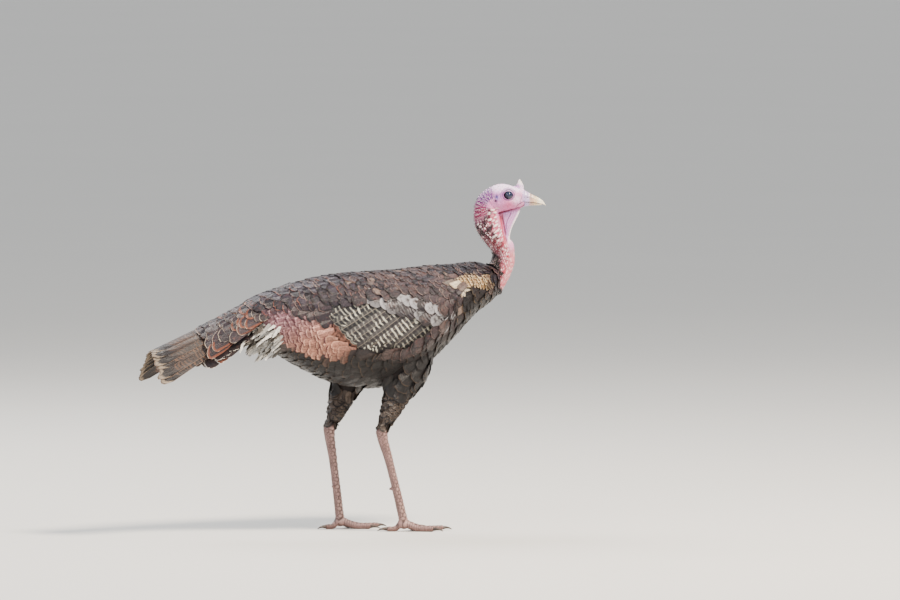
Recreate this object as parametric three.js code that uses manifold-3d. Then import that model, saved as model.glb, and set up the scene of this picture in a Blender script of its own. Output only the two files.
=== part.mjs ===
// A young male wild turkey (a jake) in late-summer moult, life size, walking slowly with its head up.
// Millimetres, +Z up. It faces +X, its left side is +Y, and its soles are the floor at Z 0.
// The exported group stands with its origin at the middle of its bottom.
import * as THREE from "three";
import { mergeVertices } from "three/addons/utils/BufferGeometryUtils.js";
import Module from "manifold-3d";

const wasm = await Module();
wasm.setup();

// ---- Driving sizes -------------------------------------------------------------------------
const GAP = 0.35; // clearance between neighbouring pieces
const BACK_HEIGHT = 394; // top of the back over the legs
const TRUNK_FRONT = 160; // the foremost point of the breast
const TRUNK_REAR = -266; // where the rump ends under the tail's coverts
const TRUNK_HALF_WIDTH = 82;
const TRUNK_ROUNDNESS = 2.25; // superellipse power of the trunk's sections
const HEAD_YAW = -18; // degrees that the head turns to the bird's right
const HEAD_PLACE = [168, -8, 505]; // midway between the eyes
const EYE_RADIUS = 8;
const EYE_SIDE = 11.3; // from the head's middle plane to the centre of an eyeball
const BILL_ROOT = 25; // forward of the eyes, where horn takes over from skin
const SNOOD_HEIGHT = 14;
const TAIL_ROOT = [-198, 371]; // x and z of the middle rectrices' roots
const TAIL_LENGTH = 237;
const TAIL_DROOP = 23.5; // degrees below the horizontal
const TAIL_HALF_WIDTH = 54;
const TAIL_ARCH = 52; // how far the outer rectrices hang below the middle ones
const RECTRICES = 18;
const WING_FRONT = 67; // the wrist of the folded wing
const WING_REAR = -124;
const WING_THICKNESS = 9;
const HOCK_HEIGHT = 152;
const ANKLE_HEIGHT = 17;
const FOOT_TOP = 27; // where the shank's scutes take over from the foot
const LEG_SIDE = 43; // from the middle plane to each foot
const TOE_RADIUS = 4.4;
const TOE_LIFT = 3.7; // height of a toe's axis, less than its radius, so that its sole is flat

const RING = 22; // facets round the trunk
const NECK_RING = 16;
const LIMB_RING = 10;
const TURN = 2 * Math.PI;
const UP = new THREE.Vector3(0, 0, 1);
const LEFT = new THREE.Vector3(0, 1, 0);

const v3 = (x, y, z) => new THREE.Vector3(x, y, z);
const rad = THREE.MathUtils.degToRad;
const lerp = THREE.MathUtils.lerp;
const steps = (count) => Array.from({ length: count + 1 }, (_, i) => i / count);

// A smooth curve through [place, value] pairs in rising order of place, flat at each peak and dip.
function profile(pairs) {
  const chord = pairs.slice(1).map(([x, y], i) => (y - pairs[i][1]) / (x - pairs[i][0]));
  const slope = pairs.map((_, i) => {
    const before = chord[Math.max(i - 1, 0)];
    const after = chord[Math.min(i, chord.length - 1)];
    return before * after <= 0 ? 0 : (2 * before * after) / (before + after);
  });
  return (place) => {
    const x = THREE.MathUtils.clamp(place, pairs[0][0], pairs.at(-1)[0]);
    const i = Math.max(0, pairs.findIndex((pair) => pair[0] >= x) - 1);
    const [[x0, y0], [x1, y1]] = [pairs[i], pairs[i + 1]];
    const width = x1 - x0;
    const t = (x - x0) / width;
    const ease = t * t * (3 - 2 * t);
    return (
      lerp(y0, y1, ease) +
      width * t * (1 - t) * ((1 - t) * slope[i] - t * slope[i + 1])
    );
  };
}

// One closed superellipse: wide to each side, rise above its centre and fall below it.
function ring(at, side, up, { wide, rise, fall = rise, power = 2 }, count) {
  return steps(count)
    .slice(0, count)
    .map((share) => {
      const [c, s] = [Math.cos(share * TURN), Math.sin(share * TURN)];
      const across = wide * Math.sign(c) * Math.abs(c) ** (2 / power);
      const over = (s > 0 ? rise : fall) * Math.sign(s) * Math.abs(s) ** (2 / power);
      return at.clone().addScaledVector(side, across).addScaledVector(up, over);
    });
}

function geometryOf(points, triangles) {
  const geometry = new THREE.BufferGeometry().setFromPoints(points);
  geometry.setIndex(triangles);
  return geometry;
}

// A closed skin over a row of rings, with a fan over each end.
function loft(rings) {
  const count = rings[0].length;
  const middle = (r) => r.reduce((sum, p) => sum.add(p), v3(0, 0, 0)).divideScalar(count);
  const points = [...rings.flat(), middle(rings[0]), middle(rings.at(-1))];
  const last = (rings.length - 1) * count;
  const triangles = [];
  for (let i = 0; i < count; i++) {
    const next = (i + 1) % count;
    triangles.push(rings.length * count, next, i);
    triangles.push(rings.length * count + 1, last + i, last + next);
    for (let row = 0; row < last; row += count) {
      triangles.push(row + i, row + next, row + count + next);
      triangles.push(row + i, row + count + next, row + count + i);
    }
  }
  return geometryOf(points, triangles);
}

// A loft along a curve that lies in a plane square to side. size(t) gives the section at t.
function sweep(curve, side, size, rows, count) {
  return loft(
    steps(rows).map((t) => {
      const over = v3().crossVectors(curve.getTangentAt(t), side).normalize();
      return ring(curve.getPointAt(t), side, over, size(t), count);
    }),
  );
}

// A closed plate between two surfaces that are each a function of (p, q), both from 0 to 1.
function plate(outer, inner, rows, columns) {
  const grid = steps(rows).flatMap((p) => steps(columns).map((q) => [p, q]));
  const points = [outer, inner].flatMap((face) => grid.map(([p, q]) => face(p, q)));
  const across = columns + 1;
  const under = grid.length;
  const triangles = [];
  const quad = (a, b, c, d) => triangles.push(a, b, c, a, c, d);
  for (let r = 0; r < rows; r++)
    for (let c = 0; c < columns; c++) {
      const a = r * across + c;
      quad(a, a + 1, a + across + 1, a + across);
      quad(under + a, under + a + across, under + a + across + 1, under + a + 1);
    }
  for (let c = 0; c < columns; c++) {
    const end = rows * across + c;
    quad(c, under + c, under + c + 1, c + 1);
    quad(end, end + 1, under + end + 1, under + end);
  }
  for (let r = 0; r < rows; r++) {
    const [a, b] = [r * across, r * across + columns];
    quad(a, a + across, under + a + across, under + a);
    quad(b, under + b, under + b + across, b + across);
  }
  return geometryOf(points, triangles);
}

// A three.js geometry as a manifold solid, facing out.
function solid(geometry) {
  const bare = new THREE.BufferGeometry().setAttribute("position", geometry.attributes.position);
  bare.setIndex(geometry.index);
  const merged = mergeVertices(bare, 1e-3);
  const build = (triVerts) =>
    new wasm.Manifold(
      new wasm.Mesh({ numProp: 3, vertProperties: merged.attributes.position.array, triVerts }),
    );
  const triangles = Uint32Array.from(merged.index.array);
  const made = build(triangles);
  if (made.volume() > 0) return made;
  for (let i = 0; i < triangles.length; i += 3)
    [triangles[i + 1], triangles[i + 2]] = [triangles[i + 2], triangles[i + 1]];
  return build(triangles);
}

const join = (...solids) => solids.reduce((whole, piece) => whole.add(piece));
const above = (piece, height) => piece.trimByPlane([0, 0, 1], height);

// The part of a solid between two places on a curve, with half a gap off each cut.
function lengthOf(piece, curve, from, to) {
  const cut = (whole, t, sign) => {
    const normal = curve.getTangentAt(t).multiplyScalar(sign);
    return whole.trimByPlane(normal.toArray(), normal.dot(curve.getPointAt(t)) + GAP / 2);
  };
  const low = from === null ? piece : cut(piece, from, 1);
  return to === null ? low : cut(low, to, -1);
}

// ---- Trunk ---------------------------------------------------------------------------------
const trunkTop = profile([
  [TRUNK_REAR, 340],
  [-250, 355],
  [-185, BACK_HEIGHT - 18],
  [-120, BACK_HEIGHT - 4],
  [-55, BACK_HEIGHT],
  [0, BACK_HEIGHT + 2],
  [35, BACK_HEIGHT + 7],
  [95, BACK_HEIGHT + 9],
  [136, BACK_HEIGHT + 5],
  [TRUNK_FRONT, 381],
]);
const trunkBottom = profile([
  [TRUNK_REAR, 318],
  [-245, 296],
  [-200, 266],
  [-150, 238],
  [-100, 219],
  [-55, 213],
  [0, 229],
  [50, 266],
  [100, 315],
  [138, 346],
  [TRUNK_FRONT, 374],
]);
const trunkHalf = profile([
  [TRUNK_REAR, 16],
  [-245, 36],
  [-195, 54],
  [-130, 70],
  [-60, TRUNK_HALF_WIDTH - 1],
  [0, TRUNK_HALF_WIDTH],
  [60, 74],
  [105, 59],
  [140, 36],
  [TRUNK_FRONT, 3],
]);

function trunk(grow) {
  const rings = steps(21).map((t) => {
    const ease = (1 - Math.cos(t * Math.PI)) / 2; // rings crowd towards both ends
    const x = lerp(TRUNK_REAR, TRUNK_FRONT, lerp(t, ease, 0.7));
    const [top, bottom] = [trunkTop(x), trunkBottom(x)];
    const half = (top - bottom) / 2;
    const shift = grow * (2 * t - 1);
    const size = { wide: trunkHalf(x) + grow, rise: half + grow, power: TRUNK_ROUNDNESS };
    return ring(v3(x + shift, 0, bottom + half), LEFT, UP, size, RING);
  });
  return solid(loft(rings));
}

// How far the trunk's side is from the middle plane at x and z.
function trunkSide(x, z) {
  const [top, bottom] = [trunkTop(x), trunkBottom(x)];
  const share = Math.min(1, Math.abs(z - (top + bottom) / 2) / ((top - bottom) / 2));
  return trunkHalf(x) * (1 - share ** TRUNK_ROUNDNESS) ** (1 / TRUNK_ROUNDNESS);
}

// ---- Head and neck -------------------------------------------------------------------------
// The head is built facing +X with its origin midway between the eyes, then turned and placed.
const headMatrix = new THREE.Matrix4()
  .makeRotationZ(rad(HEAD_YAW))
  .setPosition(...HEAD_PLACE);
const headTop = profile([
  [-51, -16],
  [-46, -4],
  [-38, 4],
  [-25, 12.5],
  [-9, 16.4],
  [3, 14.2],
  [14, 10.4],
  [BILL_ROOT, 7],
]);
const headBottom = profile([
  [-51, -20],
  [-45, -29],
  [-20, -27.5],
  [-3, -24.6],
  [8, -21.8],
  [BILL_ROOT, -17.8],
]);
const headHalf = profile([
  [-51, 3],
  [-46, 12],
  [-36, 17.5],
  [-20, 19],
  [-6, 18],
  [4, 16],
  [13, 12.4],
  [BILL_ROOT, 8.4],
]);

function head(grow) {
  const rings = steps(13).map((t) => {
    const f = lerp(-51, BILL_ROOT, t);
    const half = (headTop(f) - headBottom(f)) / 2;
    const size = { wide: headHalf(f) + grow, rise: half + grow, power: 2.15 };
    return ring(v3(f, 0, headBottom(f) + half), LEFT, UP, size, NECK_RING);
  });
  return solid(loft(rings).applyMatrix4(headMatrix));
}

const neckLine = new THREE.CatmullRomCurve3(
  [
    [118, 352],
    [144, 368],
    [158, 387],
    [165, 404],
    [165, 417],
    [159, 430],
    [151, 441],
    [144, 453],
    [139, 466],
    [138, 479],
    [141, 492],
  ].map(([x, z]) => v3(x, 0, z)),
);
const neckBack = profile([[0, 20], [0.3, 17], [0.5, 16], [0.65, 17.5], [0.85, 22], [1, 21]]);
const neckFront = profile([[0, 20], [0.15, 18], [0.35, 16.5], [0.6, 15.5], [0.8, 19], [1, 20]]);
const neckSide = profile([[0, 22], [0.35, 16], [0.6, 15.5], [0.8, 17.5], [1, 17]]);

function neck(grow) {
  const size = (t) => ({
    wide: neckSide(t) + grow,
    rise: neckBack(t) + grow,
    fall: neckFront(t) + grow,
  });
  return solid(sweep(neckLine, LEFT, size, 18, NECK_RING));
}

// The loose fold of skin that hangs from the chin down the front of the neck.
function throatFold() {
  const front = new THREE.CatmullRomCurve3(
    [[19.5, -19], [16.5, -28], [12, -37], [7.5, -46], [3.5, -56], [2, -67]].map(([f, h]) => v3(f, 0, h)),
  );
  const back = new THREE.CatmullRomCurve3(
    [[-20, -18], [-26, -28], [-28, -42], [-22, -54], [-14, -67]].map(([f, h]) => v3(f, 0, h)),
  );
  const half = (q) => lerp(4.6, 1.7, q ** 0.6); // half the fold's thickness, thinnest at its front edge
  const face = (sign) => (p, q) =>
    back.getPoint(p).lerp(front.getPoint(p), q).addScaledVector(LEFT, sign * half(q));
  return solid(plate(face(1), face(-1), 7, 4).applyMatrix4(headMatrix));
}

function snood() {
  const line = new THREE.CatmullRomCurve3([v3(17.5, 0, 5), v3(18.4, 0, 12), v3(17.6, 0, 10 + SNOOD_HEIGHT)]);
  const size = profile([[0, 6.6], [0.25, 5.8], [0.6, 3.6], [0.85, 2], [1, 0.6]]);
  const cone = sweep(line, LEFT, (t) => ({ wide: size(t) * 0.85, rise: size(t) }), 5, 8);
  return solid(cone.applyMatrix4(headMatrix));
}

// ---- Bill ----------------------------------------------------------------------------------
const culmen = profile([[BILL_ROOT, 7], [33, 3], [42, -2], [50, -6.2], [55, -11], [58, -16.6]]);
const biteLine = profile([[BILL_ROOT, -10.6], [36, -11.4], [48, -13.6], [54, -14.8], [58, -16.9]]);
const billUnder = profile([[BILL_ROOT, -17.8], [34, -16.6], [44, -16.2], [52.5, -15.4]]);
const billHalf = profile([[BILL_ROOT, 8.4], [33, 7.2], [42, 5.6], [50, 3.6], [55, 1.9], [58, 0.5]]);

function mandible(from, to, upper) {
  const rings = steps(7).map((t) => {
    const f = lerp(from, to, t);
    const line = biteLine(f) + (upper ? 1 : -1) * (GAP / 2);
    const depth = Math.max(0.4, upper ? culmen(f) - line : line - billUnder(f));
    const wide = upper ? billHalf(f) : Math.max(0.6, billHalf(f) * 0.92 - 0.3);
    const size = { wide, rise: upper ? depth : 0, fall: upper ? 0 : depth };
    return ring(v3(f, 0, line), LEFT, UP, size, 10);
  });
  return solid(loft(rings).applyMatrix4(headMatrix));
}

// ---- Wings ---------------------------------------------------------------------------------
const wingTop = profile([[-145, 352], [-80, 366], [-20, 373], [30, 377], [58, 374], [WING_FRONT, 364]]);
const wingBottom = profile([
  [-145, 292],
  [-95, 271],
  [-50, 262],
  [-5, 269],
  [35, 297],
  [60, 332],
  [WING_FRONT, 352],
]);
const wingThickness = profile([[0, 3], [0.12, WING_THICKNESS], [0.6, WING_THICKNESS - 1], [1, 4]]);

// p runs from the wrist to the feather tips, and q from the upper edge to the lower.
function wing(side, grow) {
  const tips = 5; // secondaries whose ends show along the rear edge
  const rearEdge = (q) => {
    const lean = 16 * Math.sin(q * Math.PI * 0.85);
    return -lean + 4 * Math.abs(Math.sin(q * tips * Math.PI)) - grow;
  };
  const face = (lift) => (p, q) => {
    const x = lerp(WING_FRONT + grow, WING_REAR, p) + rearEdge(q) * p ** 3;
    const z = lerp(wingTop(x) + grow, wingBottom(x) - grow, q);
    const bulge = 1 - 0.55 * (2 * q - 1) ** 4;
    return v3(x, side * (trunkSide(x, z) + lift(p) * bulge), z);
  };
  const outer = (p) => wingThickness(p) + 2 * grow;
  return solid(plate(face(outer), face(() => -6 - grow), 10, 10));
}

// ---- Tail ----------------------------------------------------------------------------------
// A point on the folded tail: s from root to tip, q from -1 at the bird's right to 1 at its left.
function tailPoint(s, q, lift) {
  const reach = TAIL_LENGTH * s;
  const half = lerp(30, TAIL_HALF_WIDTH, s);
  const arch = lerp(22, TAIL_ARCH, s) * Math.abs(q) ** 1.7;
  const droop = rad(TAIL_DROOP);
  const x = TAIL_ROOT[0] - reach * Math.cos(droop) - arch * 0.2;
  const z = TAIL_ROOT[1] - reach * Math.sin(droop) - arch;
  return v3(x, q * half, z + lift);
}

function tail(grow) {
  const tipEdge = (q) => 1 - 0.06 * q * q - 0.028 * Math.abs(Math.cos((q * RECTRICES * Math.PI) / 4));
  const face = (lift) => (p, r) => {
    const q = 2 * r - 1;
    return tailPoint(p * tipEdge(q), q * (1 + grow / 20), lift(p));
  };
  const upper = face((p) => lerp(0, -1, p) + grow);
  const lower = face((p) => lerp(-14, -4.5, p) - grow);
  return solid(plate(upper, lower, 5, 18));
}

// The coverts that lie on the tail, or under it, as far back as share of its length.
function tailCoverts(share, near, far, span) {
  const edge = (q) => share * (1 - 0.16 * q * q - 0.05 * Math.abs(Math.sin(q * 2 * Math.PI)));
  const face = (lift) => (p, r) => {
    const q = 2 * r - 1;
    return tailPoint(p * edge(q), q * span, lift(p));
  };
  return solid(plate(face(far), face(near), 5, 8));
}

// ---- Legs ----------------------------------------------------------------------------------
// Each toe: degrees out from straight ahead on a right foot's outer side, and length to the claw.
const TOES = [
  { name: "inner", turn: 32, reach: 47, start: ANKLE_HEIGHT - 3 },
  { name: "middle", turn: -2, reach: 62, start: ANKLE_HEIGHT - 3 },
  { name: "outer", turn: -36, reach: 46, start: ANKLE_HEIGHT - 3 },
  { name: "hind", turn: 168, reach: 26, start: ANKLE_HEIGHT + 3 },
];
const CLAW_LENGTH = 15;

function toeLine(foot, side, { turn, reach, start }) {
  const heading = rad(turn * -side);
  const at = (distance, height) =>
    v3(foot.x + distance * Math.cos(heading), foot.y + distance * Math.sin(heading), height);
  const line = new THREE.CatmullRomCurve3([
    at(0, start),
    at(reach * 0.28, lerp(TOE_LIFT, start, 0.35)),
    at(reach * 0.5, TOE_LIFT + 0.2),
    at(reach * 0.76, TOE_LIFT),
    at(reach, TOE_LIFT + 0.3),
  ]);
  const claw = new THREE.QuadraticBezierCurve3(
    at(reach + GAP, TOE_LIFT + 0.3),
    at(reach + CLAW_LENGTH * 0.6, TOE_LIFT + 1.6),
    at(reach + CLAW_LENGTH, 1.2),
  );
  return { line, claw, across: v3(-Math.sin(heading), Math.cos(heading), 0) };
}

function foot(place, side) {
  const pad = new THREE.SphereGeometry(8.2, 10, 6).scale(1, 1, 0.85).translate(place.x, place.y, ANKLE_HEIGHT - 7);
  const size = (t) => {
    const joints = 0.35 * Math.cos(t * TURN * 3); // each phalanx swells a little at its ends
    return { wide: lerp(5.6, TOE_RADIUS - 0.3, t) + joints, rise: lerp(5.2, TOE_RADIUS - 0.5, t) };
  };
  const toes = TOES.map((toe) => {
    const { line, across } = toeLine(place, side, toe);
    return solid(sweep(line, across, size, 7, 7));
  });
  return above(join(solid(pad), ...toes), 0);
}

function claws(place, side) {
  return TOES.map((toe) => {
    const { claw, across } = toeLine(place, side, toe);
    const size = (t) => ({ wide: lerp(2.7, 0.4, t), rise: lerp(3.1, 0.4, t ** 0.8) });
    return [toe.name, above(solid(sweep(claw, across, size, 3, 6)), 0.05)];
  });
}

function leg(side, footX, hockX) {
  const foot0 = v3(footX, side * LEG_SIDE, 0);
  const ankle = v3(footX, side * LEG_SIDE, ANKLE_HEIGHT);
  const hock = v3(hockX, side * (LEG_SIDE - 1), HOCK_HEIGHT);
  const knee = v3(hockX + 46, side * 46, 262);
  const hip = v3(hockX + 40, side * 42, 310);
  const shankLine = new THREE.CatmullRomCurve3([
    ankle.clone().setZ(ANKLE_HEIGHT - 4),
    ankle.clone().lerp(hock, 0.35),
    ankle.clone().lerp(hock, 0.7),
    hock,
    hock.clone().lerp(knee, 0.1),
  ]);
  const shankSize = (t) => ({
    wide: profile([[0, 6.5], [0.1, 5.9], [0.5, 5.2], [0.84, 6.6], [0.93, 7.6], [1, 6.6]])(t),
    rise: profile([[0, 7], [0.1, 6.6], [0.5, 6.2], [0.84, 8], [0.93, 9.4], [1, 8]])(t),
  });
  const thighLine = new THREE.CatmullRomCurve3([
    hock.clone().lerp(knee, 0.1),
    hock.clone().lerp(knee, 0.5),
    knee,
    hip,
  ]);
  const thighSize = (t) => ({
    wide: profile([[0, 9], [0.2, 14], [0.55, 25], [1, 30]])(t),
    rise: profile([[0, 10.5], [0.2, 18], [0.55, 35], [1, 42]])(t),
  });
  const spurLine = new THREE.LineCurve3(
    ankle.clone().lerp(hock, 0.36).add(v3(-2, -side * 2, 0)),
    ankle.clone().lerp(hock, 0.36).add(v3(-9.5, -side * 5, -1)),
  );
  const spur = sweep(spurLine, UP, (t) => ({ wide: lerp(4, 1.2, t), rise: lerp(4, 1.2, t) }), 2, 6);
  const sheath = solid(sweep(shankLine, LEFT, shankSize, 12, LIMB_RING)).add(solid(spur));
  const feathered = solid(sweep(thighLine, LEFT, thighSize, 8, 16));
  return { foot0, sheath, feathered, thighLine };
}

// ---- Assembly ------------------------------------------------------------------------------
const finish = (color, roughness, metalness = 0) =>
  new THREE.MeshStandardMaterial({ color, roughness, metalness });
const materials = {
  face: finish(0xdcb4c8, 0.5),
  neck: finish(0xc4606c, 0.55),
  horn: finish(0xe2cfae, 0.4),
  claw: finish(0x4a3a34, 0.45),
  eye: finish(0x1c1618, 0.08),
  shank: finish(0xb98a80, 0.5),
  body: finish(0x4c3c38, 0.5, 0.15),
  wing: finish(0x8d867c, 0.55, 0.1),
  tail: finish(0x6d4a36, 0.55, 0.1),
};

const bird = new THREE.Group();

function add(name, piece, material) {
  const { numProp, numVert, vertProperties, triVerts } = piece.getMesh();
  const points = new Float32Array(numVert * 3);
  for (let i = 0; i < numVert; i++)
    points.set(vertProperties.subarray(i * numProp, i * numProp + 3), i * 3);
  const geometry = new THREE.BufferGeometry();
  geometry.setAttribute("position", new THREE.BufferAttribute(points, 3));
  geometry.setIndex(new THREE.BufferAttribute(Uint32Array.from(triVerts), 1));
  geometry.computeVertexNormals();
  const mesh = new THREE.Mesh(geometry, material);
  mesh.name = name;
  bird.add(mesh);
}

const body = trunk(0);
const bodySpace = trunk(GAP);
add("trunk", body, materials.body);

// Head, cut for the eyeballs, and three lengths of neck.
const headCut = 0.86; // share of the neck's line where the head takes over
const neckCuts = [0.34, 0.6];
const flesh = join(head(0), neck(0));
const eyeCentre = (side) => v3(0, side * EYE_SIDE, 0).applyMatrix4(headMatrix);
const socket = (side) =>
  solid(new THREE.SphereGeometry(EYE_RADIUS + GAP, 14, 10).translate(...eyeCentre(side)));
const front = headMatrix.clone().setPosition(0, 0, 0);
const forward = v3(1, 0, 0).applyMatrix4(front);
const billFace = forward.dot(v3(BILL_ROOT, 0, 0).applyMatrix4(headMatrix));
const skull = lengthOf(flesh, neckLine, headCut, null)
  .subtract(join(socket(1), socket(-1)))
  .trimByPlane(forward.clone().negate().toArray(), -billFace + GAP / 2);
const neckOnly = flesh.subtract(bodySpace);
add("head", skull, materials.face);
add("neck_upper", lengthOf(neckOnly, neckLine, neckCuts[1], headCut), materials.neck);
add("neck_middle", lengthOf(neckOnly, neckLine, neckCuts[0], neckCuts[1]), materials.neck);
add("neck_lower", lengthOf(neckOnly, neckLine, null, neckCuts[0]), materials.neck);

const headSpace = join(head(GAP), neck(GAP));
add("snood", snood().subtract(headSpace), materials.face);
add("throat_fold", throatFold().subtract(headSpace), materials.face);
add("bill_upper", mandible(BILL_ROOT + GAP / 2, 58, true), materials.horn);
add("bill_lower", mandible(BILL_ROOT + GAP / 2, 52.5, false), materials.horn);
for (const [name, side] of [["left", 1], ["right", -1]]) {
  const eye = new THREE.Mesh(new THREE.SphereGeometry(EYE_RADIUS, 12, 9), materials.eye);
  eye.position.copy(eyeCentre(side));
  eye.name = `eye_${name}`;
  bird.add(eye);
}

const tailSpace = join(bodySpace, tail(GAP));
const overTail = tailCoverts(0.6, () => -2, profile([[0, 1], [0.35, 13], [1, 3]]), 0.94);
const underTail = tailCoverts(0.5, () => -7, profile([[0, -36], [0.5, -26], [1, -13]]), 0.8);
add("tail", tail(0).subtract(bodySpace), materials.tail);
add("tail_coverts_upper", overTail.subtract(tailSpace), materials.tail);
add("tail_coverts_lower", underTail.subtract(tailSpace), materials.tail);

const legs = {
  right: { side: -1, footX: -16, hockX: -52 },
  left: { side: 1, footX: -86, hockX: -104 },
};
for (const [name, { side, footX, hockX }] of Object.entries(legs)) {
  const { foot0, sheath, feathered, thighLine } = leg(side, footX, hockX);
  const paw = join(foot(foot0, side), sheath).trimByPlane([0, 0, -1], -FOOT_TOP);
  const upward = thighLine.getTangentAt(0);
  const hockPlane = upward.dot(thighLine.getPointAt(0));
  const belowHock = sheath.trimByPlane(upward.clone().negate().toArray(), -hockPlane + GAP / 2);
  const shank = above(belowHock, FOOT_TOP + GAP);
  const thigh = feathered
    .trimByPlane(upward.toArray(), hockPlane + GAP / 2)
    .subtract(bodySpace)
    .subtract(wing(side, GAP));
  add(`thigh_${name}`, thigh, materials.body);
  add(`shank_${name}`, shank, materials.shank);
  add(`foot_${name}`, paw, materials.shank);
  for (const [toe, claw] of claws(foot0, side)) add(`claw_${name}_${toe}`, claw, materials.claw);
  add(`wing_${name}`, wing(side, 0).subtract(bodySpace), materials.wing);
}

// The origin goes to the middle of the bottom.
const box = new THREE.Box3().setFromObject(bird);
const middle = box.getCenter(v3());
bird.position.set(-middle.x, -middle.y, -box.min.z);

export default bird;
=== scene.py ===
"""A life-size wild turkey, a young male in moult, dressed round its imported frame.

Lengths are millimetres in the bird's own axes until they reach Blender: x forward, y to its left, z up
from the soles.
"""

import math
from functools import partial

import bpy
import numpy as np
from bpy.props import FloatProperty, FloatVectorProperty, IntProperty, PointerProperty
from mathutils import Color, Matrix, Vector
from mathutils.bvhtree import BVHTree


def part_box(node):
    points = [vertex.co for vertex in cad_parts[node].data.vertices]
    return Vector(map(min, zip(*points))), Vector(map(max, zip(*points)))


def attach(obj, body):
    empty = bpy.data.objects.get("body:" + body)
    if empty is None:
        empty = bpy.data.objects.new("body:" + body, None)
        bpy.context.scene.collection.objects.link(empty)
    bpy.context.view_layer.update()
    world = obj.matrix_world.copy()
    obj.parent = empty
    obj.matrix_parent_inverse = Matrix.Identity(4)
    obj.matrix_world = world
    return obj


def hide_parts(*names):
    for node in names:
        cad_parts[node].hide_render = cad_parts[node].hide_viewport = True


bl_info = {
    "name": "Wild turkey",
    "version": (1, 0, 0),
    "blender": (4, 5, 0),
    "location": "View3D > Sidebar > Turkey",
    "description": "Builds the skin, bill, eyes, claws and plumage of a life-size wild turkey",
    "category": "Add Mesh",
}

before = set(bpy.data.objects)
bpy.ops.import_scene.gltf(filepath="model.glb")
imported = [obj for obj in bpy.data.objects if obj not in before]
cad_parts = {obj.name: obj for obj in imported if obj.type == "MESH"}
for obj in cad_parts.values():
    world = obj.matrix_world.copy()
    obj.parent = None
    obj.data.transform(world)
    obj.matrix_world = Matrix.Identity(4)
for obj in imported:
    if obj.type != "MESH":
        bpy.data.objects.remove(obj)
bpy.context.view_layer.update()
SIDES = {"left": 1, "right": -1}
TOES = ("inner", "middle", "outer", "hind")
MM = 0.001
UP = np.array([0.0, 0.0, 1.0])


# ---- Places taken from the frame -----------------------------------------------------------
def box(node):
    """Lowest and highest corner of a node, in mm of the row frame."""
    return [np.array(corner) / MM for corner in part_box(node)]


TRUNK_FRONT = 160.0  # the bird's own x of the foremost point of the breast
trunk_low, trunk_high = box("trunk")
ORIGIN = np.array([trunk_high[0] - TRUNK_FRONT, (trunk_low[1] + trunk_high[1]) / 2, 0.0])
EYE = {side: sum(box(f"eye_{side}")) / 2 - ORIGIN for side in SIDES}
EYE_RADIUS = np.ptp(box("eye_left"), axis=0).max() / 2
HEAD = (EYE["left"] + EYE["right"]) / 2  # midway between the eyes
HEAD_SIDE = EYE["left"] - EYE["right"]
EYE_SIDE = np.linalg.norm(HEAD_SIDE) / 2
HEAD_SIDE /= 2 * EYE_SIDE
HEAD_FORWARD = np.cross(HEAD_SIDE, UP)


def to_row(points):
    return (points + ORIGIN) * MM


def to_bird(points):
    return points / MM - ORIGIN


def to_head(points):
    """Forward, left and up of the head's own axes, from midway between the eyes."""
    away = points - HEAD
    return away @ HEAD_FORWARD, away @ HEAD_SIDE, away @ UP


def from_head(forward, side, up):
    return HEAD + forward * HEAD_FORWARD + side * HEAD_SIDE + up * UP


# ---- Numbers and colours -------------------------------------------------------------------
def linear(hex_colour):
    """An sRGB hex colour as linear RGB."""
    share = [int(hex_colour[i : i + 2], 16) / 255 for i in (1, 3, 5)]
    return np.array([s / 12.92 if s <= 0.04045 else ((s + 0.055) / 1.055) ** 2.4 for s in share])


def rgba(hex_colour):
    return (*linear(hex_colour), 1.0)


def mix(under, over, share):
    """Colours or numbers under, covered by over where share is 1. A colour may be a hex string or the
    value of a property."""
    share = np.asarray(share, float)
    if isinstance(under, (str, Color)) or np.ndim(under) > share.ndim:
        share = share[..., None]
    under, over = (linear(given) if isinstance(given, str) else np.asarray(given) for given in (under, over))
    return under + (over - under) * share


def colour_property(name, description, hex_colour):
    """A colour that a user may change."""
    look = {"name": name, "description": description, "default": tuple(linear(hex_colour))}
    return FloatVectorProperty(subtype="COLOR", size=3, **look)


def layered(colour, *layers):
    """A colour covered by each layer in turn: its own colour, and its share."""
    for over, share in layers:
        colour = mix(colour, over, share)
    return colour


def smooth(value, start, end):
    """0 before start and 1 after end, with an eased rise between. start may be above end."""
    share = np.clip((value - start) / (end - start), 0, 1)
    return share * share * (3 - 2 * share)


def hill(value, middle, width):
    """1 at middle, fading to nothing about two widths away."""
    return np.exp(-(((value - middle) / width) ** 2))


def read_off(value, *places):
    """What a line through some places reads at value. Each place is a value and what it reads there."""
    return np.interp(value, *zip(*places))


def luck(*keys):
    """A fixed number from 0 to 1 for each set of keys, which looks drawn at random."""
    mixed = sum(np.asarray(key, float) * factor for key, factor in zip(keys, (12.9898, 78.233, 37.719)))
    return np.modf(np.abs(np.sin(mixed + 0.713) * 43758.5453))[0]


def together(*parts):
    """Numbers for x, y and z, or for any other columns, as rows. Each may be an array or one number."""
    return np.stack(np.broadcast_arrays(*parts), -1)


def unit(vectors):
    """The same directions at length 1."""
    return vectors / np.maximum(np.linalg.norm(vectors, axis=-1, keepdims=True), 1e-9)


def ripple(points, size, seed):
    """Soft uneven waves from -1 to 1, about size mm from crest to crest."""
    rng = np.random.default_rng(seed * 10 + 5)
    waves = 7
    total = np.zeros(len(points))
    for _ in range(waves):
        heading = unit(rng.normal(size=3))
        pace = 2 * np.pi / (size * rng.uniform(0.6, 1.7))
        total += np.sin(points @ heading * pace + rng.uniform(0, 6.3))
    return total / (waves / 2)


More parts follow.
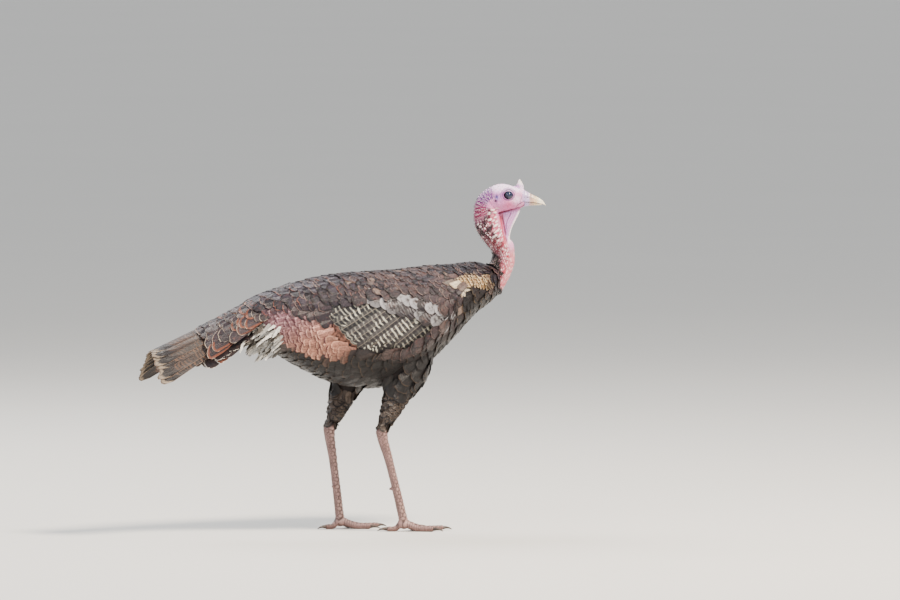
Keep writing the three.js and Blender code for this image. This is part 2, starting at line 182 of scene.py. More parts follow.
def cells(along, across, long, wide, loose, seed):
    """Staggered cells of long by wide mm. Gives each point's height, 1 mid-cell and 0 in the grooves
    between cells, and its cell's luck."""
    row = np.floor(along / long)
    first = np.full(len(along), 9.0)
    second = first.copy()
    chance = np.zeros(len(along))
    for i in (row - 1, row, row + 1):
        stagger = 0.5 * np.mod(i, 2)
        column = np.floor(across / wide - stagger)
        for j in (column - 1, column, column + 1):
            middle = i + 0.5 + loose * (luck(i, j, seed) - 0.5)
            over = j + stagger + 0.5 + loose * (luck(i, j, seed + 1) - 0.5)
            gap = np.hypot(along / long - middle, across / wide - over)
            nearer = gap < first
            second = np.where(nearer, first, np.minimum(second, gap))
            chance = np.where(nearer, luck(i, j, seed + 2), chance)
            first = np.where(nearer, gap, first)
    return smooth(second - first, 0.0, 0.75), chance


def run_of(line):
    """How far along a line each of its points is."""
    return np.concatenate([[0], np.cumsum(np.linalg.norm(np.diff(line, axis=0), axis=1))])


def rounded(line, rounds=3):
    """A line of points with its corners cut again and again."""
    for _ in range(rounds):
        cuts = np.stack([0.75 * line[:-1] + 0.25 * line[1:], 0.25 * line[:-1] + 0.75 * line[1:]], 1)
        line = np.concatenate([line[:1], cuts.reshape(-1, line.shape[1]), line[-1:]])
    return line


def along_line(points, line):
    """Each point's nearest place on a line of x and z: how far along it, and how far the point lies
    towards the line's back."""
    legs = np.diff(line, axis=0)
    spans = np.linalg.norm(legs, axis=1)
    flat = points[:, [0, 2]]
    best = np.full(len(points), 1e9)
    far = np.zeros(len(points))
    rear = np.zeros(len(points))
    for start, leg, span, run in zip(line, legs, spans, run_of(line)):
        share = np.clip((flat - start) @ leg / span**2, 0, 1)
        off = flat - start - share[:, None] * leg
        gap = np.hypot(*off.T)
        nearer = gap < best
        best = np.where(nearer, gap, best)
        far = np.where(nearer, run + share * span, far)
        rear = np.where(nearer, (off @ [-leg[1], leg[0]]) / span, rear)
    return far, rear


# The middle line of the neck as x and z, from the breast to the crown.
NECK_LINE = rounded(
    np.array(
        [(118, 352), (144, 368), (158, 387), (165, 404), (165, 417), (159, 430), (151, 441)]
        + [(144, 453), (139, 466), (138, 479), (142, 492), (152, 502), (166, 506), (182, 504)],
        float,
    )
)


def round_neck(points):
    """How far up the neck each point is, and its turn round the neck: 0 along the back, pi along the
    front, and positive on the left."""
    far, rear = along_line(points, NECK_LINE)
    return far, np.arctan2(points[:, 1] - HEAD[1] * smooth(points[:, 2], 430, 480), rear)


def bare_from(z):
    """The x in front of which the neck is bare at a height z: the edge of the collar of feathers."""
    low = ((350, 175), (356, 165), (360, 156), (367, 149), (376, 150))
    return read_off(z, *low, (390, 151.5), (402, 152), (412, 152), (418, 147), (424, 100))


# ---- Meshes --------------------------------------------------------------------------------
def read(items, field, kind=np.float32):
    """A field of three numbers of each of a mesh's items, as rows."""
    flat = np.empty(len(items) * 3, kind)
    items.foreach_get(field, flat)
    return flat.reshape(-1, 3)


def coordinates(mesh):
    return read(mesh.vertices, "co").astype(float)


def normals(mesh):
    return read(mesh.vertex_normals, "vector").astype(float)


def triangles(mesh):
    mesh.calc_loop_triangles()
    return read(mesh.loop_triangles, "vertices", np.int32)


def move_to(mesh, points):
    mesh.vertices.foreach_set("co", np.asarray(points, np.float32).ravel())
    mesh.update()


def store(mesh, name, values, kind="FLOAT"):
    """Keeps one number, vector or colour for each vertex."""
    layer = mesh.attributes.new(name, kind, "POINT")
    if kind == "FLOAT_COLOR":
        values = np.c_[np.clip(values, 0, 1), np.ones(len(values))]
    field = {"FLOAT": "value", "FLOAT_VECTOR": "vector", "FLOAT_COLOR": "color"}[kind]
    layer.data.foreach_set(field, np.asarray(values, np.float32).ravel())


def tree_of(piece):
    """A search tree of a piece, in mm of the bird's axes."""
    points = to_bird(coordinates(piece.data))
    return BVHTree.FromPolygons(points.tolist(), triangles(piece.data).tolist())


def outward(tree, points):
    """Which way a searched surface faces where it is nearest to each point."""
    return np.array([tree.find_nearest(point)[1] for point in points])


def link(name, mesh):
    piece = bpy.data.objects.new(name, mesh)
    bpy.context.collection.objects.link(piece)
    return piece


def finished(piece, slot, *nodes):
    """Puts a piece on the bird's one body and hides the nodes that it stands for. Its slot is not used."""
    piece.data.shade_smooth()
    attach(piece, "root")
    if nodes:
        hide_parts(*nodes)


def apply_modifiers(piece):
    graph = bpy.context.evaluated_depsgraph_get()
    mesh = bpy.data.meshes.new_from_object(piece.evaluated_get(graph))
    old = piece.data
    piece.modifiers.clear()
    piece.data = mesh
    bpy.data.meshes.remove(old)
    return piece


def grid_mesh(name, points):
    """A mesh over a grid of points, its columns joined round."""
    rows, columns, _ = points.shape
    index = np.arange(rows * columns).reshape(rows, columns)
    index = np.c_[index, index[:, :1]]
    quads = np.stack([index[:-1, :-1], index[:-1, 1:], index[1:, 1:], index[1:, :-1]], -1)
    mesh = bpy.data.meshes.new(name)
    mesh.from_pydata(to_row(points.reshape(-1, 3)), [], quads.reshape(-1, 4).tolist())
    return mesh


def welded(node):
    """A welded copy of a node's mesh, so that its corners share one normal."""
    piece = link("welding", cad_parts[node].data.copy())
    piece.modifiers.new("weld", "WELD").merge_threshold = 1e-6
    mesh = apply_modifiers(piece).data
    bpy.data.objects.remove(piece)
    return mesh


def blended(name, nodes, voxel, rounds, swell=0.3):
    """One smooth closed mesh round some nodes, whose gaps are closed by swelling each by swell mm."""
    points, faces = [], []
    count = 0
    for node in nodes:
        mesh = welded(node)
        points.append(coordinates(mesh) / MM + normals(mesh) * swell)
        faces.append(triangles(mesh) + count)
        count += len(mesh.vertices)
        bpy.data.meshes.remove(mesh)
    mesh = bpy.data.meshes.new(name)
    mesh.from_pydata(np.concatenate(points) * MM, [], np.concatenate(faces).tolist())
    piece = link(name, mesh)
    remesh = piece.modifiers.new("remesh", "REMESH")
    remesh.mode = "VOXEL"
    remesh.voxel_size = voxel * MM
    relax = piece.modifiers.new("relax", "SMOOTH")
    relax.iterations = rounds
    relax.factor = 0.5
    return apply_modifiers(piece)


# ---- Materials -----------------------------------------------------------------------------
# Settings that many nodes share.
PLUS = {"operation": "ADD"}
MINUS = {"operation": "SUBTRACT"}
TIMES = {"operation": "MULTIPLY"}
TIMES_PLUS = {"operation": "MULTIPLY_ADD"}
EASED = {"interpolation_type": "SMOOTHSTEP"}
COVER = {"data_type": "RGBA"}
STAIN = {"data_type": "RGBA", "blend_type": "MULTIPLY"}


def add_node(tree, kind, *values, output=None, **named):
    """Adds a shader node and gives its first output, or the one that output names. The values fill its
    inputs in order. A named value is an input if its name has a capital, and otherwise a setting. A
    value that is a socket is linked."""
    node = tree.nodes.new(f"ShaderNode{kind}")
    filled = []
    for name, value in named.items():
        if name.islower():
            setattr(node, name, value)
        else:
            filled.append((node.inputs[name.replace("_", " ")], value))
    filled += zip((socket for socket in node.inputs if socket.enabled), values)
    for socket, value in filled:
        if isinstance(value, bpy.types.NodeSocket):
            tree.links.new(value, socket)
        else:
            socket.default_value = value
    if output:
        return node.outputs[output]
    return next((socket for socket in node.outputs if socket.enabled), None)


def material(name, surface, **look):
    """A new material. surface adds its nodes, and gives the inputs of its one shader."""
    made = bpy.data.materials.new(name)
    made.use_nodes = True
    made.node_tree.nodes.clear()
    add = partial(add_node, made.node_tree)
    add("OutputMaterial", add("BsdfPrincipled", **surface(add, **look)))
    return made


def per(size):
    """The scale of a noise whose lumps are about size mm across."""
    return 1 / (size * MM)


def bare_skin(add):
    """Bare caruncled skin, thin and moist, over blood: soft broad gloss, with light let in a little."""
    place = add("TexCoord", output="Object")
    tint = add("Attribute", attribute_name="tint")
    mottle = add("MapRange", add("TexNoise", place, per(1.8), 5.0, 0.7), 0.42, 0.72, 0.0, 0.4, **EASED)
    pores = add("TexNoise", place, per(0.7), 3.0, 0.55)
    pores = add("Math", pores, add("TexNoise", place, per(2.4), 2.0, 0.55), **PLUS)
    moist = add("TexNoise", place, per(3.0), 3.0, 0.55)
    return {
        "Base_Color": add("Mix", mottle, tint, rgba("#b85a80"), **STAIN),
        "Roughness": add("MapRange", moist, 0.3, 0.7, 0.34, 0.5, **EASED),
        "IOR": 1.4,
        "Subsurface_Weight": 0.06,
        "Subsurface_Scale": 0.001,
        "Subsurface_Radius": (1.0, 0.35, 0.25),
        "Normal": add("Bump", Strength=0.9, Distance=0.3 * MM, Height=pores),
    }


def hidden_skin(add):
    """Thin dry skin under the plumage: dull brown, so that what shows between feathers reads as down. Its
    near-black patches are partly painted shade, which makes the gaps between feathers look dark.
    """
    place = add("TexCoord", output="Object")
    tint = add("Attribute", attribute_name="tint")
    # Near-black patches: partly the down's own dark tone and partly painted shade in the gaps between
    # feathers.
    patches = add("MapRange", add("TexNoise", place, per(5.0), 5.0, 0.55), 0.3, 0.7, 0.0, 1.0, **EASED)
    down = add("TexNoise", place, per(2.0), 5.0, 0.55)
    return {
        "Base_Color": add("Mix", patches, tint, rgba("#1d1614"), **COVER),
        "Roughness": 0.9,
        "IOR": 1.4,
        "Normal": add("Bump", Strength=1.0, Distance=1.0 * MM, Height=down),
    }


def leg_scutes(add):
    """Dry keratin scutes: satin plates, greyish pink, with patches of dark dust; the tint is darker in the
    grooves.
    """
    place = add("TexCoord", output="Object")
    tint = add("Attribute", attribute_name="tint")
    dust = add("MapRange", add("TexNoise", place, per(3.0), 5.0, 0.55), 0.45, 0.75, 0.0, 0.35, **EASED)
    grain = add("TexNoise", place, per(0.8), 3.0, 0.55)
    return {
        "Base_Color": add("Mix", dust, tint, rgba("#6e564c"), **STAIN),
        "Roughness": 0.5,
        "IOR": 1.5,
        "Normal": add("Bump", Strength=0.7, Distance=0.15 * MM, Height=grain),
    }


def bill_horn(add):
    """Smooth living horn of the bill: waxy gloss over fine growth lines, worn duller at the tip."""
    place = add("TexCoord", output="Object")
    tint = add("Attribute", attribute_name="tint")
    growth = add("MapRange", add("TexNoise", place, per(1.6), 5.0, 0.55), 0.4, 0.7, 0.0, 0.3, **EASED)
    grain = add("TexNoise", place, per(0.9), 4.0, 0.55)
    return {
        "Base_Color": add("Mix", growth, tint, rgba("#9c8672"), **STAIN),
        "Roughness": 0.34,
        "IOR": 1.54,
        "Subsurface_Weight": 0.08,
        "Subsurface_Scale": 0.001,
        "Normal": add("Bump", Strength=0.7, Distance=0.08 * MM, Height=grain),
    }


def claw_horn(add):
    """Blunt scratched claw horn: dark brown, satin, paler where it has worn."""
    place = add("TexCoord", output="Object")
    worn = add("MapRange", add("TexNoise", place, per(2.5), 5.0, 0.55), 0.4, 0.7, 0.0, 1.0, **EASED)
    scratches = add("TexNoise", place, per(0.6), 4.0, 0.55)
    return {
        "Base_Color": add("Mix", worn, rgba("#2b201b"), rgba("#5b483c"), **COVER),
        "Roughness": 0.42,
        "IOR": 1.54,
        "Normal": add("Bump", Strength=1.0, Distance=0.1 * MM, Height=scratches),
    }


def wet_eye(add):
    """A wet eyeball: a blue-black iris and pupil under clear cornea, with a hard bright reflection. The bluer
    middle is a painted soft reflection of the sky.
    """
    place = add("TexCoord", output="Object")
    off = add("Attribute", attribute_name="off_axis", output="Fac")
    streaks = add("TexNoise", place, per(0.5), 5.0, 0.55)
    iris = add("Mix", streaks, rgba("#0f1322"), rgba("#1e2540"), **COVER)
    pupil_and_reflection_edge = add("MapRange", off, 1.0, 4.1, 0.0, 1.0, **EASED)
    white_edge = add("MapRange", off, 5.7, 6.3, 0.0, 1.0, **EASED)
    # The middle over the pupil is painted bluer: a painted reflection of the sky.
    colour = add("Mix", pupil_and_reflection_edge, rgba("#141c3c"), iris, **COVER)
    return {
        "Base_Color": add("Mix", white_edge, colour, rgba("#0d090b"), **COVER),
        "Roughness": 0.04,
        "IOR": 1.376,
        "Coat_Weight": 0.5,
        "Coat_Roughness": 0.02,
    }


def floor_paint(add, colour):
    """Matt pale paint on a studio floor, with a little unevenness that keeps it from looking flat."""
    uneven = add("TexNoise", add("TexCoord", output="Object"), per(900.0), 3.0, 0.55)
    pale, dull = (*colour, 1.0), (*(0.96 * share for share in colour), 1.0)
    return {"Base_Color": add("Mix", uneven, pale, dull, **COVER), "Roughness": 0.85, "IOR": 1.45}


BARB_PACE = 6.3  # radians for each mm, so that barbs lie about 1 mm apart: coarser than real ones


def feather_vane(
    add,
    roughness=0.48,
    bronze=0.0,
    tipward=0.16,
    ragged=1.6,
    edge_soft=1.1,
    shaft=0.5,
    shaft_colour="#171110",
    **marks,
):
    """Keratin vanes. The barbs give a soft broken gloss; metallic shows as the bronze of the barbules."""
    ground, edge, rim = (add("Attribute", attribute_name=layer) for layer in ("ground", "edge", "rim"))
    sizes, bands = (add("Attribute", attribute_name=layer, output="Vector") for layer in ("sizes", "bands"))
    u, v, _ = add("SeparateXYZ", add("UVMap", uv_map="vane")).node.outputs
    length, width, barred = add("SeparateXYZ", sizes).node.outputs
    edge_mm, rim_mm, blotch_and_glint_share = add("SeparateXYZ", bands).node.outputs
    place = add("TexCoord", output="Object")
    uneven = add("TexNoise", place, per(3.0), 4.0, 0.55)

    # Places on the vane, in mm: from its tip, down it, and inside its outline, which wanders a little.
    off = add("Math", add("Math", u, 2.0, -1.0, **TIMES_PLUS), operation="ABSOLUTE")
    to_tip = add("Math", add("Math", 1.0, v, **MINUS), length, **TIMES)
    down_vane = add("Math", v, length, **TIMES)
    to_side = add("Math", add("Math", 1.0, off, **MINUS), add("Math", width, 0.5, **TIMES), **TIMES)
    to_side = add("Math", to_side, add("Math", to_tip, tipward, **TIMES), **PLUS)
    inside = add("Math", to_tip, to_side, 1.5, operation="SMOOTH_MIN")
    inside = add("Math", inside, add("Math", uneven, ragged, -ragged / 2, **TIMES_PLUS), **PLUS)

    # Barbs leave the shaft slanting to the tip.
    slant = add("Math", add("Math", off, width, **TIMES), 0.55, **TIMES)
    barb_place = add("Math", down_vane, slant, **MINUS)
    barbs = add("Math", add("Math", barb_place, BARB_PACE, **TIMES), operation="SINE")
    along, across = add("Math", barb_place, 0.9, **TIMES), add("Math", off, 1.6, **TIMES)
    fibre = add("TexNoise", add("CombineXYZ", along, across, length), 1.0, 4.0, 0.5)
    fibre = add("Math", fibre, 0.5, **TIMES)
    fibre = add("Math", add("TexNoise", place, per(2.5), 5.0, 0.7), 0.5, fibre, **TIMES_PLUS)
    streak = add("MapRange", fibre, 0.34, 0.66, 0.45, 1.4, **EASED)
    shade = add("Math", streak, add("MapRange", barbs, -1.0, 1.0, 0.9, 1.1, **EASED), **TIMES)
    colour = add("Mix", 1.0, ground, shade, **STAIN)
    places = {"place": place, "off": off, "down_vane": down_vane, "to_tip": to_tip}
    colour = feather_markings(add, colour, **places, barred=barred, blotch_and_glint_share=blotch_and_glint_share, **marks)

    # The edge, the rim outside it, and the shaft.
    for size, over, soft in ((edge_mm, edge, edge_soft), (rim_mm, rim, 0.4)):
        within = add("MapRange", add("Math", inside, size, **MINUS), soft, -soft, 0.0, 1.0, **EASED)
        colour = add("Mix", within, colour, over, **COVER)
    on_shaft = add("MapRange", add("Math", off, width, **TIMES), 0.9, 0.3, 0.0, shaft, **EASED)
    bump = add("Math", barbs, add("Math", uneven, 2.0, **TIMES), **PLUS)
    return {
        "Base_Color": add("Mix", on_shaft, colour, rgba(shaft_colour), **COVER),
        "Roughness": roughness,
        "IOR": 1.55,
        "Metallic": bronze,
        "Specular_IOR_Level": 0.35,
        "Normal": add("Bump", Strength=0.7, Distance=0.12 * MM, Height=bump),
    }


def feather_markings(
    add, colour, place, off, down_vane, to_tip, barred, blotch_and_glint_share, glint=None, bars=None, blotch=None, tip=None
):
    """What a kind of feather has on its ground: painted bronze glints of sheen, bars, pale blotches and a
    banded tip.
    """
    if glint:
        # Painted sheen: patches of bronze colour stand in for the shine of the iridescent barbules.
        bronze, most, fading = glint
        glints = add("TexNoise", place, per(7.0), 5.0, 0.75)
        glints = add("MapRange", glints, 0.52, 0.68, 0.0, most, **EASED)
        if fading:
            glints = add("Math", glints, blotch_and_glint_share, **TIMES)
        colour = add("Mix", glints, colour, rgba(bronze), **COVER)
    if bars:
        step, share, pale = bars
        wave = add("Math", add("Math", down_vane, add("Math", off, 1.0, **TIMES), **PLUS), 1 / step, **TIMES)
        uneven = add("TexNoise", place, per(16.0), 3.0, 0.55)
        wave = add("Math", wave, add("Math", uneven, 1.2, **TIMES), **PLUS)
        wave = add("Math", wave, 0.5, operation="PINGPONG")
        band = add("MapRange", wave, 0.5 * share + 0.05, 0.5 * share - 0.05, 0.0, 1.0, **EASED)
        worn = add("TexNoise", place, per(12.0), 3.0, 0.55)
        worn = add("MapRange", worn, 0.36, 0.58, 0.12, 1.0, **EASED)
        band = add("Math", band, add("Math", barred, worn, **TIMES), **TIMES)
        colour = add("Mix", band, colour, rgba(pale), **COVER)
    if blotch:
        spots = add("MapRange", add("TexNoise", place, per(6.0), 4.0, 0.55), 0.46, 0.56, 0.0, 1.0, **EASED)
        colour = add("Mix", add("Math", spots, blotch_and_glint_share, **TIMES), colour, rgba(blotch), **COVER)
    if tip:
        dark_mm, dark, pale_mm, pale = tip
        worn = add("Math", add("TexNoise", place, per(6.0), 4.0, 0.55), 8.0, **TIMES)
        worn = add("Math", to_tip, worn, **PLUS)
        for reach, over in ((dark_mm, dark), (pale_mm, pale)):
            band = add("MapRange", worn, reach + 5.0, reach, 0.0, 0.85, **EASED)
            colour = add("Mix", band, colour, rgba(over), **COVER)
    return colour


# ---- Skin ----------------------------------------------------------------------------------
SKIN_LEAST = 0.8  # mm from the bare neck and hock to the solids round them


def coat_mm():
    """How thick the coat is."""
    return bpy.context.scene.turkey_skin.coat_depth / MM


def coat_depth(points):
    """How far the skin lies inside the plumage: hardly at all on the neck and the hock."""
    x, _, z = points.T
    neck = smooth(np.hypot(x - 150, z - 385), 28, 75)
    hock = smooth(z, 162, 205)
    return SKIN_LEAST + (coat_mm() - SKIN_LEAST) * neck * hock


def tuck_crop(piece, stand):
    """Draws in the foot of the neck below its collar, until it stands only stand mm out of the breast."""
    trunk = tree_of(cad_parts["trunk"])
    points = to_bird(coordinates(piece.data))
    x, y, z = points.T
    for k in np.flatnonzero((z < 358) & (x > 115) & (np.abs(y) < 32)):
        near, out, _, _ = trunk.find_nearest(points[k])
        over = (points[k] - near) @ np.array(out) - stand - 12 * smooth(z[k], 350, 358)
        if over > 0:
            points[k] -= over * np.array(out)
    move_to(piece.data, to_row(points))


def under_coat(name, nodes, voxel, rounds):
    """A smooth form of some nodes, drawn in to where the skin lies under the plumage."""
    piece = blended(name, nodes, voxel, rounds)
    tuck_crop(piece, 0.3)
    points = to_bird(coordinates(piece.data))
    move_to(piece.data, to_row(points - normals(piece.data) * coat_depth(points)[:, None]))
    return piece


def unite(piece, other):
    union = piece.modifiers.new("union", "BOOLEAN")
    union.operation = "UNION"
    union.solver = "MANIFOLD"
    union.object = other
    apply_modifiers(piece)
    bpy.data.objects.remove(other)


NECK_RADIUS = 17.0
NAPE_MIDDLE = (-20.0, -19.0)  # forward and up, the middle of the curve of the nape
NAPE_RADIUS = 31.0
NAPE_RIDGE = 3.1  # from one ridge of the nape to the next
EYE_OPENING = (7.1, 6.2)  # half width and half height between the lids
EAR = (-20.0, -9.0)  # forward and up of the ear opening
THROAT_EDGE = ((-70, 1.6), (-66, 2.0), (-54, 4.6), (-40, 10.2), (-28, 16.3), (-19, 19.5))  # up, forward


def lid_place(f, h):
    """How far out from the middle of the eye opening: 1 at the edge of the lids."""
    return np.hypot((f + 0.3) / EYE_OPENING[0], (h + 0.1) / EYE_OPENING[1])


class BareSkin:
    """Points of the bare head and neck: where each lies, how far it stands out in mm, and its colour."""

    def __init__(self, points):
        self.points = points
        self.head = f, s, h = to_head(points)
        self.far, round_it = round_neck(points)
        self.turn = np.abs(round_it)
        self.across = round_it * NECK_RADIUS
        self.patchy = ripple(points, 13, 6)
        self.fine = ripple(points, 5, 8)
        self.lid_gap = lid_place(f, h)
        self.on_face = smooth(np.abs(s), 5, 10)
        self.stand = np.zeros(len(points))
        self.looks = bpy.context.scene.turkey_skin
        self.colour = np.array(self.looks.bare) * np.ones_like(points)

        # Where each kind of skin lies.
        z = points[:, 2]
        self.nape_out = np.hypot(f - NAPE_MIDDLE[0], h - NAPE_MIDDLE[1])
        self.nape_turn = np.arctan2(h - NAPE_MIDDLE[1], NAPE_MIDDLE[0] - f)
        nape = smooth(self.nape_out, 12.0, 16.0) * smooth(self.nape_turn, -0.85, -0.5)
        self.nape = nape * smooth(self.nape_turn, 1.62, 1.25) * smooth(f, -15, -21)
        self.behind = smooth(self.turn, 2.55, 2.05)
        hind = self.behind * smooth(z, 398, 410) * smooth(h, -17, -23) * smooth(f, -5, -11)
        self.hind = hind * (1 - self.nape)
        flap = smooth(f, -9, -4) * smooth(h, -21, -27) * smooth(h, -80, -64)
        self.flap = flap * smooth(np.abs(s), 8, 5.5)
        self.fore = smooth(z, 446, 432) * (1 - 0.7 * self.hind) * (1 - self.flap)
        self.face = smooth(h, -30, -24) * (1 - self.nape) * smooth(f, -38, -26)

    def cover(self, *layers):
        self.colour = layered(self.colour, *layers)


def cheeks(skin):
    """The white crown and the rosy cheeks, finely pebbled, over a pink throat."""
    f, s, h = skin.head
    pebble, _ = cells(f + 0.3 * h, h - 0.2 * f, 1.9, 2.1, 0.7, 15)
    skin.stand += skin.face * (0.16 * pebble + 0.3 * skin.fine * smooth(skin.lid_gap, 1.4, 1.9))
    skin.stand += 0.7 * hill(np.hypot((f - 25) / 1.2, h + 1.5), 0, 5.2) * smooth(np.abs(s), 2, 5)
    skin.cover(
        (skin.looks.crown, smooth(h, 1, 9)),
        ("#f6dcf2", 0.85 * hill(np.hypot((f - 12) * 0.8, h + 7), 0, 7)),
        ("#d0608e", 0.8 * hill(np.hypot(f - 1, (h + 15) * 1.25), 0, 9)),
        ("#b98fd0", 0.75 * hill(np.hypot((f + 16) * 0.9, (h + 1) * 0.75), 0, 6.5)),
        ("#5f4f94", 0.95 * hill(ear_notch(f, h), 0, 3.4) * skin.on_face),
        ("#c06bb0", 0.5 * hill(f, -9.5, 3) * hill(h, -1, 9) * skin.on_face),
        ("#c9689c", 0.35 * smooth(skin.fine, 0.2, 0.9) * skin.face),
        ("#d68fae", smooth(h, -26, -34)),
    )


def eyelids(skin):
    """The dark lids, the groove round them, and the brow. The purple above the eye and the dark groove are
    partly the skin's own colour and partly painted shade under the brow and in the groove.
    """
    f, _, h = skin.head
    above = smooth(h - 0.35 * f, -4, 4)
    lid = hill(skin.lid_gap, 1.12, 0.09)
    groove = hill(skin.lid_gap, 1.30, 0.10 + 0.05 * smooth(h - 0.6 * f, 0, 5))
    brow = hill(skin.lid_gap, 1.52, 0.14) * (0.3 + 0.7 * above)
    skin.stand += skin.on_face * (0.5 * lid - 0.55 * groove + 0.6 * brow)
    skin.cover(
        # Partly painted shade: the darker purple above the eye and the dark groove.
        ("#7d4690", 0.9 * hill(skin.lid_gap, 1.68, 0.11) * above * skin.on_face),
        ("#5a3a70", 0.95 * groove * skin.on_face),
        ("#7d4c86", 0.8 * lid * skin.on_face),
        ("#3a2440", smooth(skin.lid_gap, 1.07, 1.0) * skin.on_face),
    )


def nape_ridges(skin):
    """Pale ridges across the nape over plum valleys, redder towards the hindneck."""
    across = np.arctan2(skin.head[1], skin.nape_out - 14) * NECK_RADIUS
    place = skin.nape_turn * NAPE_RADIUS + 0.5 * skin.fine
    ridges, chance = cells(place, np.abs(across) - 1, NAPE_RIDGE, 24.0, 0.2, 1)
    wave = np.cos(place * 2 * np.pi / NAPE_RIDGE + 0.6 * skin.patchy)
    ridges = ridges * smooth(0.5 + 0.5 * wave, 0.15, 0.6)
    skin.stand += skin.nape * (1.3 * ridges * (0.6 + 0.4 * smooth(chance, 0.0, 0.6)) - 0.5)
    redder = smooth(skin.nape_turn, 0.7, -0.2)
    skin.cover(
        (mix("#683276", "#84284a", redder), skin.nape * smooth(ridges, 0.55, 0.2)),
        (mix("#f4dff0", "#f6dcd6", redder), skin.nape * smooth(ridges, 0.4, 0.75)),
    )


def hindneck(skin):
    """Pale crescents over pink, and over dark maroon towards the back."""
    across, patchy, fine = skin.across, skin.patchy, skin.fine
    bars, bar_luck = cells(skin.far + 0.5 * fine - 0.12 * np.abs(across), across + patchy, 4.2, 19.0, 0.25, 4)
    specks, speck_luck = cells(skin.far + 0.7 * fine, across, 3.3, 4.0, 0.8, 5)
    middle = smooth(skin.turn, 1.15, 0.75)
    beads = mix(bars, specks, middle)
    chance = mix(bar_luck, speck_luck, middle)
    skin.stand += skin.hind * ((0.75 + 0.9 * chance) * beads + 0.25 * small_grains(skin) - 0.6)
    dark = smooth(skin.behind * smooth(skin.turn, 1.9, 0.9) + 0.35 * patchy, 0.45, 0.85)
    pale = smooth(beads, 0.25, 0.6) * (0.15 + 0.85 * smooth(chance, 0.1 + 0.25 * dark, 0.4 + 0.5 * dark))
    skin.cover(
        (mix("#bb5670", "#480c26", dark), skin.hind),
        ("#f6e2de", skin.hind * pale),
        ("#a8a0b4", skin.hind * 0.4 * smooth(patchy, 0.2, 0.8)),
        ("#20060f", skin.hind * dark * smooth(patchy, 0.05, 0.45) * 0.92),
    )


def small_grains(skin):
    return cells(skin.far, skin.across, 2.2, 2.9, 0.7, 41)[0]


def foreneck(skin):
    """Red flesh between long pale grains, smoother along the front."""
    f, _, h = skin.head
    fore, turn, patchy, fine = skin.fore, skin.turn, skin.patchy, skin.fine
    grains, chance = cells(skin.far + fine, skin.across, 6.6, 3.3, 0.75, 9)
    grainy = (0.5 + 1.1 * chance) * grains + 0.25 * small_grains(skin) - 0.45 + 0.5 * patchy
    skin.stand += fore * grainy * smooth(turn, 2.3, 1.5)
    skin.stand += 0.4 * fore * (patchy + 0.5 * fine) * smooth(turn, 1.4, 1.9)
    plain = smooth(turn, 1.5, 2.0)
    red = smooth(patchy + 0.5 * fine, 0.1, 0.8) * smooth(turn, 0.45, 0.75) * (1 - 0.8 * plain)
    flesh = layered(
        mix("#c8707c", skin.looks.flesh, red),
        ("#d7878f", 0.7 * plain),
        ("#c2485c", 0.6 * smooth(skin.points[:, 2], 388, 362)),
    )
    shown = smooth(chance, 0.0, 0.35 + 0.3 * plain) * (1 - 0.75 * red) * (1 - 0.45 * plain)
    streak = hill(f, read_off(h, (-71, -5.0), (-60, -7.0), (-44, -10.0), (-33, -12.3)), 2.4)
    skin.cover(
        (flesh, fore),
        ("#7a1a34", fore * smooth(grains, 0.3, 0.0) * (0.75 - 0.55 * plain)),
        ("#fae3e0", fore * smooth(grains, 0.3, 0.7) * shown),
        ("#4a1426", fore * smooth(turn, 0.6, 0.3) * smooth(fine, 0.0, 0.4) * 0.8),
        ("#b01a3c", 0.85 * streak * smooth(h, -27, -34) * smooth(h, -74, -66)),
    )


def throat_flap(skin):
    """The lilac fold of skin down the throat: pleats, a pale rim, and a knob at its foot. The pale rim is
    partly the skin's own and partly a painted highlight along the front edge; the dark pleat troughs and fold
    line are partly painted shade.
    """
    f, _, h = skin.head
    edge = read_off(h, *THROAT_EDGE)
    rim = smooth(f - edge, -3.0, -0.8) * skin.flap
    fold = hill(f, read_off(h, (-60, -1.0), (-46, -2.9), (-38, -0.6), (-29, 4.3)), 0.8)
    fold = fold * skin.flap * smooth(h, -58, -48) * smooth(h, -25, -29)
    pleats = 0.5 + 0.5 * np.sin((f - edge) * 1.7 + 2.0 * ripple(skin.points, 22, 2))
    knob = hill(np.hypot(f - 5, (h + 77) * 0.85), 0, 6.5) * smooth(f, -4, 2)
    skin.stand += skin.flap * 0.45 * (pleats - 0.5) * smooth(f - edge, 0, -3)
    skin.stand += 0.4 * rim - 0.5 * fold + 2.4 * knob
    # The pale rim is partly a painted highlight; the dark pleats and fold are partly painted shade.
    skin.cover(
        ("#d6a0d2", skin.flap),
        ("#a65a98", skin.flap * smooth(pleats, 0.3, 0.0) * 0.55),
        ("#6d2c62", fold * 0.9),
        ("#fbeef2", rim),
        ("#e2a0cc", knob * 0.85),
    )


